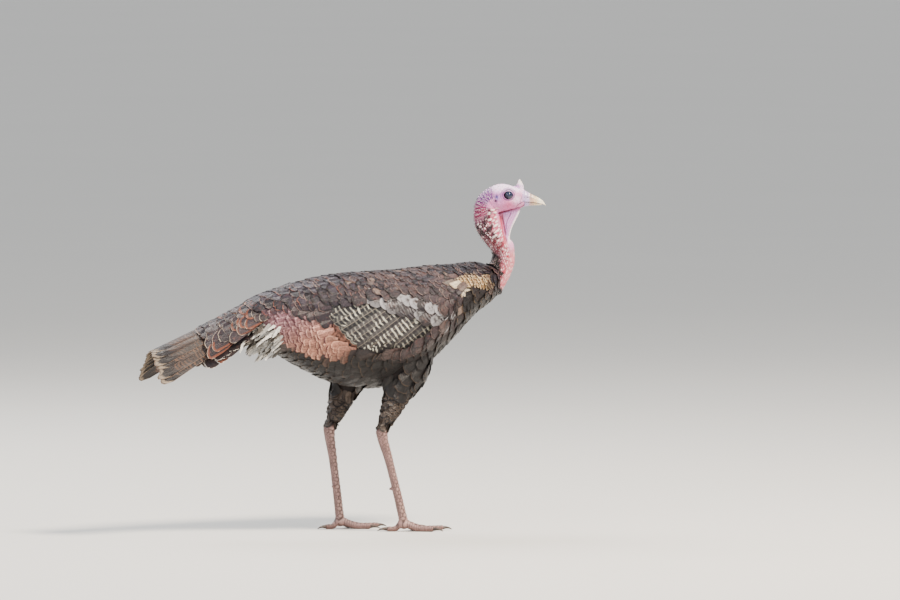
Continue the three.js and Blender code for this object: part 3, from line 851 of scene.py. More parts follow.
def creases(skin):
    """The seam behind the throat flap, the crease of the jaw, the gape, and the furrow before the eye. Their
    dark colours are partly the skin's own dark red and partly painted shade in the creases.
    """
    f, s, h = skin.head
    seam = hill(f, read_off(h, (-71, -1.7), (-60, -3.3), (-44, -6.5), (-33, -8.7)), 1.2)
    seam = seam * smooth(h, -75, -69) * smooth(h, -27, -33)
    jaw = h - read_off(f, (-14, -28.0), (-2, -25.2), (9, -22.5), (19, -19.8), (31, -14.8))
    jaw_crease = hill(jaw, 0, 1.5) * smooth(f, -19, -12) * smooth(f, 30, 25) * smooth(np.abs(s), 1.5, 3.5)
    mouth = h - read_off(f, (12, -18.5), (15, -15.0), (22, -11.0), (33, -7.8))
    gape = hill(mouth, 0, 0.9) * smooth(f, 9, 13) * smooth(f, 32, 28) * skin.on_face
    furrow = hill(f - 19.5 - 0.35 * (h + 6), 0, 0.8) * smooth(h, -13, -9) * smooth(h, 4, 0) * skin.on_face
    skin.stand -= 1.5 * jaw_crease + 1.0 * gape + 1.5 * seam + 0.5 * furrow
    skin.stand += 0.5 * hill(jaw, 2.6, 1.6) * smooth(f, 4, 10) * smooth(f, 30, 25) * skin.on_face
    # Dark red in the creases: partly the skin's own colour, partly painted shade.
    skin.cover(
        ("#7a1638", 0.95 * seam),
        ("#6e1436", np.minimum(1.15 * jaw_crease, 1)),
        ("#d98a86", 0.5 * hill(jaw, 3.0, 1.8) * smooth(f, 10, 16) * skin.on_face),
        ("#6c3050", 0.9 * gape),
        ("#8a5c84", 0.7 * furrow),
    )


def ear_notch(f, h):
    """How far a point is from the dark notch above the ear opening."""
    return np.hypot((f + 18.4) / 0.8, (h + 3.0) / 1.3)


def ears(skin):
    """The dark ear opening with a raised lip, and the notch above it."""
    f, _, h = skin.head
    gap = np.hypot((f - EAR[0]) / 0.9, h - EAR[1])
    notch = ear_notch(f, h)
    hollows = 1.7 * hill(gap, 0, 1.6) + 0.9 * hill(notch, 0, 2.0)
    skin.stand += skin.on_face * (0.45 * hill(gap, 3.4, 0.9) - hollows)
    skin.cover(
        ("#4c3c80", 0.85 * hill(notch, 0, 2.6) * skin.on_face),
        ("#281a30", hill(gap, 0, 2.2) * skin.on_face),
    )


def bill_root(skin):
    """The lilac skin at the root of the bill, and the back of the nostrils."""
    f, s, h = skin.head
    nostril = hill(np.hypot((f - 26.0) / 1.9, h + 3.6 - 0.2 * (f - 26)), 0, 0.95) * smooth(np.abs(s), 3, 5)
    skin.stand -= 1.3 * nostril
    skin.cover(
        ("#c3b0dc", 0.85 * smooth(f, 20, 23) * smooth(h, 7, 4) * smooth(h, -12, -9)),
        ("#4a3350", 0.9 * nostril),
    )


def snood(skin):
    """The short upright snood, wrinkled in rings and white at its tip."""
    f, _, h = skin.head
    up = smooth(h, 9.0, 11.5) * smooth(f, 8, 10)
    skin.stand += up * (0.75 * smooth(h, 24, 12) + 0.3 * np.sin(h * 2.6 + 0.8 * skin.fine))
    skin.cover(("#cf9ad6", up * smooth(f, 22, 16)), ("#fdf0f0", up * smooth(h, 12, 19)))


def head_relief(points):
    """How far the head and neck's bare skin stands out, in mm, and its colour. The colours lie over one
    another in this order."""
    skin = BareSkin(points)
    regions = (cheeks, eyelids, nape_ridges, hindneck, foreneck, throat_flap, creases, ears, bill_root, snood)
    for region in regions:
        region(skin)
    open_eye = smooth(skin.lid_gap, 0.8, 1.05)
    return skin.stand * mix(1.0, open_eye, skin.on_face), np.clip(skin.colour, 0, 1)


def seat_lids(points):
    """Moves the skin round the eyes so that the lids lie on the eyeballs."""
    f, s, h = to_head(points)
    gap = lid_place(f, h)
    near = (gap < 1.9) & (np.abs(s) > 5)
    ball = EYE_SIDE + np.sqrt(np.maximum(EYE_RADIUS**2 - f**2 - h**2, 0))
    out = np.abs(s)
    lid = np.maximum(out, ball + 0.55)
    lid = mix(lid, out, smooth(gap, 1.2, 1.8))
    out = mix(lid, ball - 2.2, smooth(gap, 1.02, 0.93))
    shift = (np.sign(s) * out - s) * near
    return points + shift[:, None] * HEAD_SIDE


SHANK_RADIUS = 6.4


def shank_middle(side, z):
    """The x and y of the middle of a leaning shank at a height z."""
    points = to_bird(coordinates(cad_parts[f"shank_{side}"].data))
    foot = points[points[:, 2] < 30].mean(0)
    hock = points[points[:, 2] > 140].mean(0)
    return read_off(z, (foot[2], foot[0]), (hock[2], hock[0])), foot[1]


def leg_relief(points):
    """How far the scutes of the shanks and toes stand out, in mm, and their colour."""
    x, y, z = points.T
    stand = np.zeros(len(points))
    colour = np.array(bpy.context.scene.turkey_skin.scutes) * np.ones_like(points)
    for side, sign in SIDES.items():
        mine = np.sign(y) == sign
        middle, row = shank_middle(side, z)
        about = np.arctan2(y - row, x - middle)
        shank = mine * smooth(z, 15, 20)
        plates, chance = cells(z, about * SHANK_RADIUS + 3.6, 5.6, 7.2, 0.12, 21)
        small, _ = cells(z, about * SHANK_RADIUS, 2.3, 2.5, 0.5, 25)
        front = smooth(np.abs(about), 2.3, 2.0)
        toes, _ = cells(np.hypot(x - middle, y - row), about * 3.0, 3.3, 9.0, 0.0, 31)
        sole, _ = cells(x, y, 2.0, 2.1, 0.6, 35)
        height = mix(mix(sole, toes, smooth(z, 3.5, 6)), mix(small, plates, front), shank)
        stand += mine * (0.75 * height - 0.4) * smooth(z, 0.2, 1.2) * (0.6 + 0.4 * shank)
        groove = smooth(height, 0.5, 0.05)
        colour = layered(colour, ("#b08d82", mine * chance * front * 0.7), ("#3d2823", mine * groove * 0.9))
    return stand, np.clip(mix(colour, "#6f5048", smooth(z, 12, 2) * 0.6), 0, 1)


class TurkeySkin(bpy.types.PropertyGroup):
    """Sizes of the skin."""

    coat_depth: FloatProperty(
        name="Coat depth",
        description="How far the skin of the body lies inside the tips of the plumage",
        default=0.006,
        unit="LENGTH",
    )
    body_grain: FloatProperty(
        name="Body grain",
        description="Size of a face of the skin under the plumage",
        default=0.004,
        unit="LENGTH",
    )
    bare_grain: FloatProperty(
        name="Bare skin grain",
        description="Size of a face of the bare skin of the head and neck",
        default=0.00076,
        unit="LENGTH",
    )
    leg_grain: FloatProperty(
        name="Leg grain",
        description="Size of a face of the scaled legs and feet",
        default=0.0012,
        unit="LENGTH",
    )
    bare: colour_property("Bare skin", "Ground of the bare head and neck", "#d282b4")
    crown: colour_property("Crown", "The top of the head", "#f8e0ff")
    flesh: colour_property("Flesh", "The reddest flesh of the foreneck", "#b42036")
    scutes: colour_property("Scutes", "Ground of the scaled legs", "#93706a")


FEATHERED = ("trunk", "neck_lower", "thigh_left", "thigh_right", "wing_left", "wing_right")
BARE = ("head", "neck_upper", "neck_middle", "neck_lower", "snood", "throat_fold")
SCALED = ("shank_left", "shank_right", "foot_left", "foot_right")
SKINS = {"bare_head_skin": bare_skin, "down_covered_skin": hidden_skin, "leg_scutes": leg_scutes}
SOLE = 0.35  # skin below this height is the flat sole, and keeps its place


def is_bare(points):
    return (points[:, 2] > 350) & (points[:, 0] > bare_from(points[:, 2]))


class TURKEY_OT_skin(bpy.types.Operator):
    """Build one skin for the body, the bare head and neck, and the scaled legs"""

    bl_idname = "turkey.skin"
    bl_label = "Skin"

    def execute(self, context):
        sizes = context.scene.turkey_skin
        skin = under_coat("skin", FEATHERED, sizes.body_grain / MM, 12)
        bare = blended("bare", BARE, sizes.bare_grain / MM, 20)
        tuck_crop(bare, -9.0)
        unite(skin, bare)
        unite(skin, blended("legs", SCALED, sizes.leg_grain / MM, 4, 0.2))
        self.shape_and_colour(skin.data)
        skin.data.materials.clear()
        for name, surface in SKINS.items():
            skin.data.materials.append(material(name, surface))
        spots = to_bird(read(skin.data.polygons, "center"))
        kind = np.where(spots[:, 2] < 158, 2, np.where(is_bare(spots), 0, 1))
        skin.data.polygons.foreach_set("material_index", kind.astype(np.int32))
        finished(skin, "face_skin", *sorted({*FEATHERED, *BARE, *SCALED} - {"wing_left", "wing_right"}))
        return {"FINISHED"}

    def shape_and_colour(self, mesh):
        """Raises the relief of the bare skin and the scutes, and tints all of the skin."""
        points = to_bird(coordinates(mesh))
        x, _, z = points.T
        bare_stand, bare_tint = head_relief(points)
        leg_stand, leg_tint = leg_relief(points)
        neck = smooth(x - bare_from(z), -3, 3) * (z > 350) * (x > 100)
        leg = smooth(z, 161, 155)
        stand = neck * bare_stand + leg * leg_stand
        moved = seat_lids(points + normals(mesh) * stand[:, None])
        moved[z < SOLE] = points[z < SOLE]
        moved[:, 2] = np.maximum(moved[:, 2], 0)
        move_to(mesh, to_row(moved))
        coat = coat_paint(points, luck(np.floor(x / 9), np.floor(z / 9)))["ground"]
        store(mesh, "tint", mix(mix(coat, bare_tint, neck), leg_tint, leg), "FLOAT_COLOR")


# ---- Eyes, bill and claws --------------------------------------------------------------------
class TURKEY_OT_eyes(bpy.types.Operator):
    """Build the two wet eyeballs, each with a raised cornea"""

    bl_idname = "turkey.eyes"
    bl_label = "Eyes"

    def execute(self, context):
        made = material("wet_eye", wet_eye)
        for side, sign in SIDES.items():
            turn = np.linspace(0, 2 * np.pi, 49)[:-1]
            dip = np.linspace(0, np.pi, 37)[:, None]
            radius = EYE_RADIUS - 0.15 + 0.55 * smooth(dip, 0.62, 0.2)
            off_axis = radius * np.sin(dip)
            out = radius * np.cos(dip) + 0 * turn
            axis = unit(sign * HEAD_SIDE * 0.99 + HEAD_FORWARD * 0.1)
            level = np.cross(UP, axis)
            ahead, high = off_axis * np.cos(turn), off_axis * np.sin(turn)
            shell = out[..., None] * axis + ahead[..., None] * level + high[..., None] * UP
            mesh = grid_mesh(f"eyeball_{side}", EYE[side] + shell)
            store(mesh, "off_axis", np.abs(off_axis) + 20 * (dip > 1.6) + 0 * turn)
            mesh.materials.append(made)
            finished(link(f"eyeball_{side}", mesh), "eyeball", f"eye_{side}")
        return {"FINISHED"}


class TURKEY_OT_bill(bpy.types.Operator):
    """Build the two halves of the bill as smooth worn horn"""

    bl_idname = "turkey.bill"
    bl_label = "Bill"

    def execute(self, context):
        made = material("bill_horn", bill_horn)
        for half in ("bill_upper", "bill_lower"):
            piece = blended(f"{half}_horn", (half,), 0.4, 14, 0.1)
            mesh = piece.data
            points = to_bird(coordinates(mesh))
            f, s, h = to_head(points)
            base = smooth(h, -10, -6)
            nostril = np.hypot((f - 29.5) / 2.0, h + 4.0 - 0.3 * (29.5 - f))
            sides = smooth(np.abs(s), 2, 4)
            stand = 0.3 * hill(f, 33.5, 1.2) * base + 0.12 * ripple(points, 5, 7) + 0.5 * smooth(f, 32, 27)
            stand -= 0.35 * hill(f, 35.2, 0.8) * base + 0.8 * hill(nostril, 0, 0.8) * sides
            move_to(mesh, to_row(points + normals(mesh) * stand[:, None]))
            cutting_edge = read_off(f, (25, -10.6), (36, -11.4), (48, -13.6), (54, -14.8), (58, -16.9))
            colour = layered(
                linear("#b8a2cc") * np.ones_like(points),
                ("#c2a08e", smooth(f, 30, 35)),
                ("#dcc49c", smooth(f, 36, 43)),
                ("#f3ead0", smooth(f, 42, 49)),
                ("#8a7268", 0.6 * hill(f, 34.6, 1.0) * base),
                ("#8f6c62", 0.75 * hill(h, cutting_edge, 0.7)),
                ("#4b3850", 0.85 * hill(nostril, 0, 0.9) * sides),
            )
            store(mesh, "tint", colour, "FLOAT_COLOR")
            mesh.materials.append(made)
            finished(piece, "horn", half)
        return {"FINISHED"}


class TURKEY_OT_claws(bpy.types.Operator):
    """Build the eight blunt claws"""

    bl_idname = "turkey.claws"
    bl_label = "Claws"

    def execute(self, context):
        made = material("claw_horn", claw_horn)
        for node in (f"claw_{side}_{toe}" for side in SIDES for toe in TOES):
            piece = blended(f"{node}_horn", (node,), 0.45, 5)
            piece.data.materials.append(made)
            points = coordinates(piece.data)
            points[:, 2] = np.maximum(points[:, 2], 0)
            move_to(piece.data, points)
            finished(piece, "claw_horn", node)
        return {"FINISHED"}


# ---- Plumage: where each feather grows and what it looks like ----------------------------------
RAY_START = 150.0  # mm out to the side, clear of the bird, from where a root's ray is cast inwards
BODY_MIDDLE = 310.0  # the height of the middle of the body, which the way round it is measured about


def patch(x, z, middle, half_long, half_high, soft=0.3):
    """1 inside an oval of the side view, fading to 0 over the soft share of its size."""
    gap = np.hypot((x - middle[0]) / half_long, (z - middle[1]) / half_high)
    return smooth(gap, 1 + soft, 1 - soft)


def pale_spots(x, z):
    return np.maximum(patch(x, z, (67, 376), 6, 4, 0.35), patch(x, z, (88, 363), 9, 3.5, 0.35))


# Where the sun's gold reflection on the shoulder's bronze feathers is painted.
def gold_sheen_patch(x, z):
    return patch(x, z, (103, 378), 25, 9)


def salmon_patch(x, z):
    return patch(x, z + 0.42 * (x + 160), (-160, 304), 62, 30)


def on_wing(points, grow=0.0):
    """Whether points lie under the folded wing."""
    x, y, z = points.T
    top = read_off(x, (-145, 352), (-80, 366), (-20, 373), (30, 377), (58, 374), (67, 364))
    bottom = read_off(x, (-145, 292), (-95, 271), (-50, 262), (-5, 269), (35, 297), (60, 332), (67, 352))
    inside = (x > -138 - grow) & (x < 60 + grow) & (z < top - 6 + grow) & (z > bottom + 6 - grow)
    return inside & (np.abs(y) > 35)


def coat_paint(points, chance):
    """How feathers that grow at the points look: the colours of their ground, edge and rim, how wide
    the edge and the rim are in mm, and how strong their painted bronze sheen of glints."""
    x, _, z = points.T
    looks = bpy.context.scene.turkey_plumage
    back = smooth(z - read_off(x, (-260, 322), (-150, 350), (0, 366), (150, 372)), -14, 12)
    rear = smooth(x, -20, -110)
    front = smooth(x, 60, 95) * (1 - back)
    low = smooth(z - read_off(x, (-200, 276), (0, 268), (60, 305), (150, 368)), 14, -8)
    vent = smooth(x, -165, -225) * smooth(z, 322, 296)
    other = luck(chance * 77)

    # The back: dark purplish brown, going violet-black over the rump.
    ground = layered(
        mix(looks.back, "#54433f", smooth(chance, 0.55, 1.0)),
        ("#241c22", smooth(chance, 0.4, 0.0)),
    )
    rim = layered(
        mix(ground, "#7d6560", 0.6 * other),
        (mix("#4c3a3a", "#8d7068", luck(chance * 23)), back),
        ("#7a4436", back * rear * (luck(chance * 13) > 0.72)),
    )
    ground = layered(
        ground,
        (mix("#181119", "#574341", smooth(other, 0.25, 1.0)), back),
        (mix("#161118", "#362d38", luck(chance * 31)), back * rear),
    )

    # The breast and belly: near black, partly their own dark feathers and partly painted shade of the
    # underside, some feathers with a golden brown fringe. The vent is pale.
    ground = layered(ground, (looks.breast, np.maximum(low, 0.92 * front)), ("#6b615a", vent))
    fringe = mix("#1d1611", "#57432c", smooth(other, 0.3, 0.9))
    rim = layered(rim, ("#3d2e20", low * (1 - smooth(x, 60, 95))), (fringe, front), ("#cfc9c0", vent))
    edge = mix("#120d0f", "#9b938a", vent)

    # The salmon flank behind the wing, dusky above and behind, peach below and in front.
    flank = salmon_patch(x, z)
    flank = flank * smooth(flank + 0.5 * other, 0.45, 0.75)
    warm = smooth((x + 172) / 60 - (z - 304) / 40, -1.1, 1.1)
    salmon = mix("#8c646c", looks.flank, warm) * (0.65 + 0.5 * chance[:, None])
    ground = mix(ground, mix(salmon, salmon * linear("#c0a8a8"), 0.7), flank)
    edge = mix(edge, salmon * 1.1, flank)
    rim = mix(rim, "#4a1c24", flank)
    edge_mm = mix(2.4, 3.0, flank)
    rim_mm = mix(0.9 * (other > 0.45), 0.5 + 0.9 * other, flank)

    # A golden buff patch on each shoulder below the dark neck base: bronze feathers with the gold of the
    # sun's reflection painted into their colour as sheen. And odd pale feathers.
    gold_sheen = gold_sheen_patch(x, z)
    pale = pale_spots(x, z)
    odd = (luck(chance * 51) > 0.95) * (1 - flank) * (x > -120) * (x < 90) * (z > 330)
    ground = layered(
        ground,
        (looks.shoulder, gold_sheen * smooth(chance, 0.05, 0.3)),
        ("#17111a", patch(x, z, (112, 396), 42, 11)),
        ("#d0c0a6", pale),
        ("#8a7466", 0.7 * odd),
    )
    edge = layered(edge, (mix("#a3825a", "#d3bb94", other), gold_sheen), ("#8f7a62", pale))
    rim = mix(rim, "#2a1c14", gold_sheen)
    rim_mm = mix(rim_mm, 0.7, gold_sheen)
    # The strength of the painted bronze sheen, carried by the blotch key: less on the breast and belly,
    # except over the gold patch.
    glints = 1 - 0.8 * np.maximum(low, front) * (1 - gold_sheen)
    paint = {"ground": ground, "edge": edge, "rim": rim, "blotch": glints}
    return {**paint, "edge_mm": edge_mm, "rim_mm": rim_mm}


def vane_shape(rows, columns=7):
    """Places along and across a vane, closer together towards the tip."""
    along = 1 - (1 - np.linspace(0, 1, rows)) ** 1.25
    return along, np.linspace(-1, 1, columns)


def drape(tree, roots, headings, lengths, rows):
    """Walks from each root along its heading over the skin. Gives places and normals, row by row."""
    along, _ = vane_shape(rows)
    place = np.empty((len(roots), rows, 3))
    normal = np.empty_like(place)
    heading = headings.copy()
    spot = roots.copy()
    for row in range(rows):
        if row:
            spot = place[:, row - 1] + heading * ((along[row] - along[row - 1]) * lengths)[:, None]
        for k, point in enumerate(spot):
            near, up, _, _ = tree.find_nearest(point)
            place[k, row] = near
            normal[k, row] = up
        if row:
            heading = unit(0.5 * heading + 0.5 * unit(place[:, row] - place[:, row - 1]))
    for _ in range(3):
        normal[:, 1:-1] = (normal[:, :-2] + 2 * normal[:, 1:-1] + normal[:, 2:]) / 4
        normal[:, -1] = (normal[:, -2] + normal[:, -1]) / 2
        place[:, 1:-1] = (place[:, :-2] + 2 * place[:, 1:-1] + place[:, 2:]) / 4
    return place, unit(normal)


def hang(roots, away, lengths, drop, rows=8):
    """Feathers that hang free of the skin from their roots. Gives places and normals, row by row."""
    along, _ = vane_shape(rows)
    reach = (lengths[:, None] * along)[..., None]
    place = roots[:, None] + unit(away)[:, None] * reach - UP * drop * reach * along[:, None] * 0.6
    heading = unit(np.gradient(place, axis=1))
    out = together(0, np.sign(roots[:, 1]) + 0.2, 0.35)[:, None]
    return place, unit(out - heading * (out * heading).sum(2)[..., None])


def vanes(
    place, normal, width, low, high, seed, round_tip=0.16, camber=0.13, columns=7, loose=0.05, waist=0.45
):
    """Feather blades along the draped places, low mm over them at the root and high mm at the tip.
    Gives points by feather, row and column, and each feather's length."""
    count, rows, _ = place.shape
    along, across = vane_shape(rows, columns)
    length = np.linalg.norm(np.diff(place, axis=1), axis=2).sum(1)
    heading = unit(np.gradient(place, axis=1))
    side = unit(np.cross(normal, heading))
    rng = np.random.default_rng(seed)
    half = 0.5 * width[:, None] * (waist + (1 - waist) * smooth(along, 0.0, 0.5))
    half = half[:, :, None] * (1 + loose * rng.normal(size=(count, rows, columns)))
    bend = along[None, :, None]
    back = length[:, None, None] * round_tip * np.abs(across) ** 2.6 * bend**4
    back = back + length[:, None, None] * 0.4 * loose * rng.normal(size=(count, rows, columns)) * bend**6
    low, high = (given + np.zeros(count) for given in (low, high))
    height = low[:, None] + (high - low)[:, None] * along
    height = height[:, :, None] - camber * half * across**2 + 0.05 * half * (1 - np.abs(across)) ** 3
    points = place[:, :, None] + normal[:, :, None] * height[..., None]
    points = points + side[:, :, None] * (across * half)[..., None] - heading[:, :, None] * back[..., None]
    return points, length


class Coat:
    """Gathers feathers, then joins them into one piece."""

    def __init__(self):
        self.points, self.quads = [], []
        self.layers = {layer: [] for layer in ("ground", "edge", "rim", "sizes", "bands")}
        self.maps = {"OFBake": [], "vane": []}
        self.count = 0

    def add(self, points, length, width, paint, bake):
        """Adds feathers: their points, sizes in mm, looks, and places on the unwrap for baking."""
        count, rows, columns, _ = points.shape
        along, across = vane_shape(rows, columns)
        index = self.count + np.arange(count * rows * columns).reshape(count, rows, columns)
        self.count += index.size
        corners = (index[:, :-1, :-1], index[:, :-1, 1:], index[:, 1:, 1:], index[:, 1:, :-1])
        self.quads.append(np.stack(corners, -1).reshape(-1, 4))
        self.points.append(points.reshape(-1, 3))
        u, v = np.meshgrid((across + 1) / 2, along)
        spread = np.stack([u, v], -1)[None] * np.ones((count, 1, 1, 1))
        self.maps["vane"].append(spread.reshape(-1, 2))
        self.maps["OFBake"].append((bake[:, None, None] + 0.003 * (spread - 0.5)).reshape(-1, 2))
        looks = {layer: paint[layer] for layer in ("ground", "edge", "rim")}
        looks["sizes"] = together(length, width, paint.get("barred", 0.0))
        looks["bands"] = together(0 * length + paint["edge_mm"], paint["rim_mm"], paint.get("blotch", 0.0))
        for layer, values in looks.items():
            self.layers[layer].append(np.repeat(values, rows * columns, axis=0))

    def piece(self, name, made, slot, *nodes):
        mesh = bpy.data.meshes.new(name)
        quads = np.concatenate(self.quads)
        mesh.from_pydata(to_row(np.concatenate(self.points)), [], quads.tolist())
        for label, spots in self.maps.items():
            flat = np.concatenate(spots)[quads.ravel()]
            mesh.uv_layers.new(name=label).data.foreach_set("uv", flat.astype(np.float32).ravel())
        for layer, values in self.layers.items():
            kind = "FLOAT_VECTOR" if layer in ("sizes", "bands") else "FLOAT_COLOR"
            store(mesh, layer, np.concatenate(values), kind)
        mesh.materials.append(made)
        finished(link(name, mesh), slot, *nodes)


def rings(tree, line, spacing):
    """Staggered rows of roots round a line of x, y and z, from its start to its end. Gives each root's
    place, its share of the way round from the top, and how far along the line it is."""
    starts = run_of(line)
    left = np.array([0.0, 1.0, 0.0])
    roots, shares, far = [], [], []
    run = 0.0
    row = 0
    while run < starts[-1]:
        behind, middle, ahead = (
            np.array([np.interp(run + step, starts, line[:, k]) for k in range(3)]) for step in (-4, 0, 4)
        )
        top = unit(np.cross(left, unit(ahead - behind)))
        if top[2] < 0:
            top = -top
        gap = spacing(run / starts[-1])
        probe = tree.ray_cast(Vector(middle), Vector(left))[0]
        if probe is None:
            run += gap
            continue
        radius = abs(probe[1] - middle[1])
        high = tree.ray_cast(Vector(middle), Vector(top))[0]
        tall = np.linalg.norm(np.array(high) - middle) if high else radius
        count = max(6, int(round(math.pi * (radius + tall) / gap)))
        for k in range(count):
            turn = 2 * math.pi * (k + 0.5 * (row % 2)) / count
            away = top * math.cos(turn) + left * math.sin(turn)
            hit = tree.ray_cast(Vector(middle), Vector(away))[0]
            if hit is not None:
                roots.append(np.array(hit))
                shares.append(turn / (2 * math.pi))
                far.append(run)
        run += gap * 0.92
        row += 1
    return np.array(roots), np.array(shares) % 1.0, np.array(far)


def spread_out(points, gap, taken=()):
    """Picks points so that none is nearer than gap to another, or to one that is taken."""
    held = {}
    for point in taken:
        held.setdefault(tuple(np.floor(point / gap).astype(int)), []).append(point)
    picked = []
    for point in points[np.argsort(luck(*points.T))]:
        i, j, k = np.floor(point / gap).astype(int)
        near = [
            other
            for step_x in (-1, 0, 1)
            for step_y in (-1, 0, 1)
            for step_z in (-1, 0, 1)
            for other in held.get((i + step_x, j + step_y, k + step_z), ())
        ]
        if not near or np.min(np.linalg.norm(np.array(near) - point, axis=1)) > gap:
            held.setdefault((i, j, k), []).append(point)
            picked.append(point)
    return np.array(picked).reshape(-1, 3)


def side_hit(skin, sign, x, z):
    """Where the skin lies at an x and z of the side view, seen from one side."""
    return skin.ray_cast(Vector((x, sign * RAY_START, z)), Vector((0, -sign, 0)))[0]


def side_roots(skin, sign, low, high, step):
    """Staggered roots over a rectangle of the side view, seen from one side."""
    roots = []
    for row, z in enumerate(np.arange(low[1], high[1], 0.85 * step)):
        for x in np.arange(low[0] + 0.5 * step * (row % 2), high[0], step):
            hit = side_hit(skin, sign, x + 0.3 * step * (luck(x, z, sign) - 0.5), z)
            if hit is not None and hit[1] * sign > 8:
                roots.append(hit)
    return np.array(roots)


def share_round(points):
    """The share of the way round the body from the top, to its left first."""
    return np.arctan2(points[:, 1], points[:, 2] - BODY_MIDDLE) / (2 * np.pi) % 1.0


def body_unwrap(points, share):
    """The place of roots on an unwrap of the body: how far back, and the share of the way round."""
    return together(0.02 + 0.96 * (points[:, 0] + 275) / 445, 0.02 + 0.96 * share)


def close_to(tree, points):
    """Whether each point is within 5 mm of the skin."""
    return np.array([tree.find_nearest(point)[3] for point in points]) < 5.0


# ---- Body plumage ----------------------------------------------------------------------------
class TurkeyPlumage(bpy.types.PropertyGroup):
    """Sizes of the plumage."""

    breast_gap: FloatProperty(
        name="Breast gap",
        description="Between one feather and the next at the base of the neck",
        default=0.007,
        unit="LENGTH",
    )
    back_gap: FloatProperty(
        name="Back gap",
        description="Between one feather and the next over the back",
        default=0.0108,
        unit="LENGTH",
    )
    length_share: FloatProperty(
        name="Length share",
        description="Length of a body feather, in gaps",
        default=2.9,
    )
    width_share: FloatProperty(
        name="Width share",
        description="Width of a body feather, in gaps",
        default=1.75,
    )
    rectrices: IntProperty(
        name="Tail feathers",
        description="How many long tail feathers the fan has",
        default=18,
    )
    remiges: IntProperty(
        name="Wing quills",
        description="How many long barred quills show on each wing",
        default=13,
    )
    back: colour_property("Back", "The paler feathers of the back", "#3b2f31")
    # The breast's near black is partly painted shade of the underside.
    breast: colour_property("Breast", "Ground of the breast and belly", "#0e0a0a")
    flank: colour_property("Flank", "The warmest feathers of the flank behind the wing", "#c28e76")
    # The shoulder's gold is partly painted sheen: the sun's reflection on bronze feathers.
    shoulder: colour_property("Shoulder", "Ground of the patch on each shoulder", "#8c683e")


# The middle line of the neck and body as x, y and z, from the foot of the neck to the tail's root.
BODY_LINE = np.array(
    [(163, 0, 412), (162, 0, 398), (153, 0, 382), (136, 0, 370), (108, 0, 358), (60, 0, 338), (0, 0, 318)]
    + [(-60, 0, 306), (-130, 0, 312), (-200, 0, 326), (-262, 0, 331)],
    float,
)


def body_flow(points):
    """The lie of the body plumage: backwards, and a little down the sides."""
    x, y, z = points.T
    collar = smooth(x, 122, 142) * smooth(z, 384, 404) * (1 + 1.5 * smooth(z, 404, 414))
    down = (0.16 + 0.34 * smooth(x, 60, 150) + 0.1 * smooth(z, 360, 300)) * smooth(np.abs(y), 8, 40)
    down = down - 0.12 * smooth(x, -60, -220) * smooth(z, 300, 260) + 1.1 * collar
    outwards = 0.10 * np.sign(y) * smooth(x, 150, 60) - 0.22 * (y / 80) * smooth(x, -120, -240)
    return unit(together(-1.0, outwards, -down))


def body_feather():
    """The bronzed material of the body's feathers."""
    # The glint is a painted bronze sheen.
    look = {"bronze": 0.15, "roughness": 0.4, "glint": ("#6b4036", 0.4, True)}
    name = "bronze_body_feather"
    return bpy.data.materials.get(name) or material(name, feather_vane, **look)


def shell():
    """The points of the skin."""
    return to_bird(coordinates(bpy.data.objects["skin"].data))


class Roots:
    """Where feathers grow: each one's place, share of the way round the body, and gap to the next."""

    def __init__(self, points, share, gap):
        self.points, self.share, self.gap = points, share, gap + 0 * share

    def kept(self, keep):
        return Roots(self.points[keep], self.share[keep], self.gap[keep])

    def joined(self, points, gap):
        return Roots(
            np.concatenate([self.points, points]),
            np.concatenate([self.share, share_round(points)]),
            np.concatenate([self.gap, np.full(len(points), float(gap))]),
        )


def body_roots(skin, sizes):
    """Rows of roots round the body, more where the rows leave gaps and along the edge of the bare neck,
    and finer ones over the two bright patches."""
    trunk = under_coat("trunk_form", ("trunk", "neck_lower", "wing_left", "wing_right"), 4.0, 12)
    small, large = sizes.breast_gap / MM, sizes.back_gap / MM

    def spacing(share):
        return small + (large - small) * smooth(share, 0.06, 0.34)

    points, share, far = rings(tree_of(trunk), BODY_LINE, spacing)
    bpy.data.objects.remove(trunk)
    keep = close_to(skin, points) & ~on_wing(points) & (points[:, 0] < bare_from(points[:, 2]) - 1)
    roots = Roots(points[keep], share[keep], spacing(far[keep] / far[keep].max()))
    spots = shell()
    x, _, z = spots.T
    past_edge = x - bare_from(z)
    plain = spots[(z > 226) & (x < 95) & ~on_wing(spots, -4.0)]
    collar = spots[(z > 396) & (z < 425) & (past_edge < -0.6) & (x > 95)]
    border = spots[(z > 345) & (z < 396) & (np.abs(past_edge + 2.5) < 2.0)]
    for points, apart, gap in ((plain, 10.5, 11.97), (collar, 4.0, 4.56)):
        roots = roots.joined(spread_out(points, apart, roots.points), gap)
    roots = roots.joined(spread_out(border, 3.4), 3.876)
    patches = ((gold_sheen_patch, (62, 356), (142, 400), 4.6), (salmon_patch, (-250, 236), (-80, 376), 8.6))
    finer = []
    for covers, low, high, step in patches:
        roots = roots.kept(covers(*roots.points[:, [0, 2]].T) < 0.2)
        for sign in SIDES.values():
            fine = side_roots(skin, sign, low, high, step)
            finer.append((fine[(covers(*fine[:, [0, 2]].T) >= 0.2) & ~on_wing(fine, -3.0)], step))
    for points, step in finer:
        roots = roots.joined(points, step)
    return roots


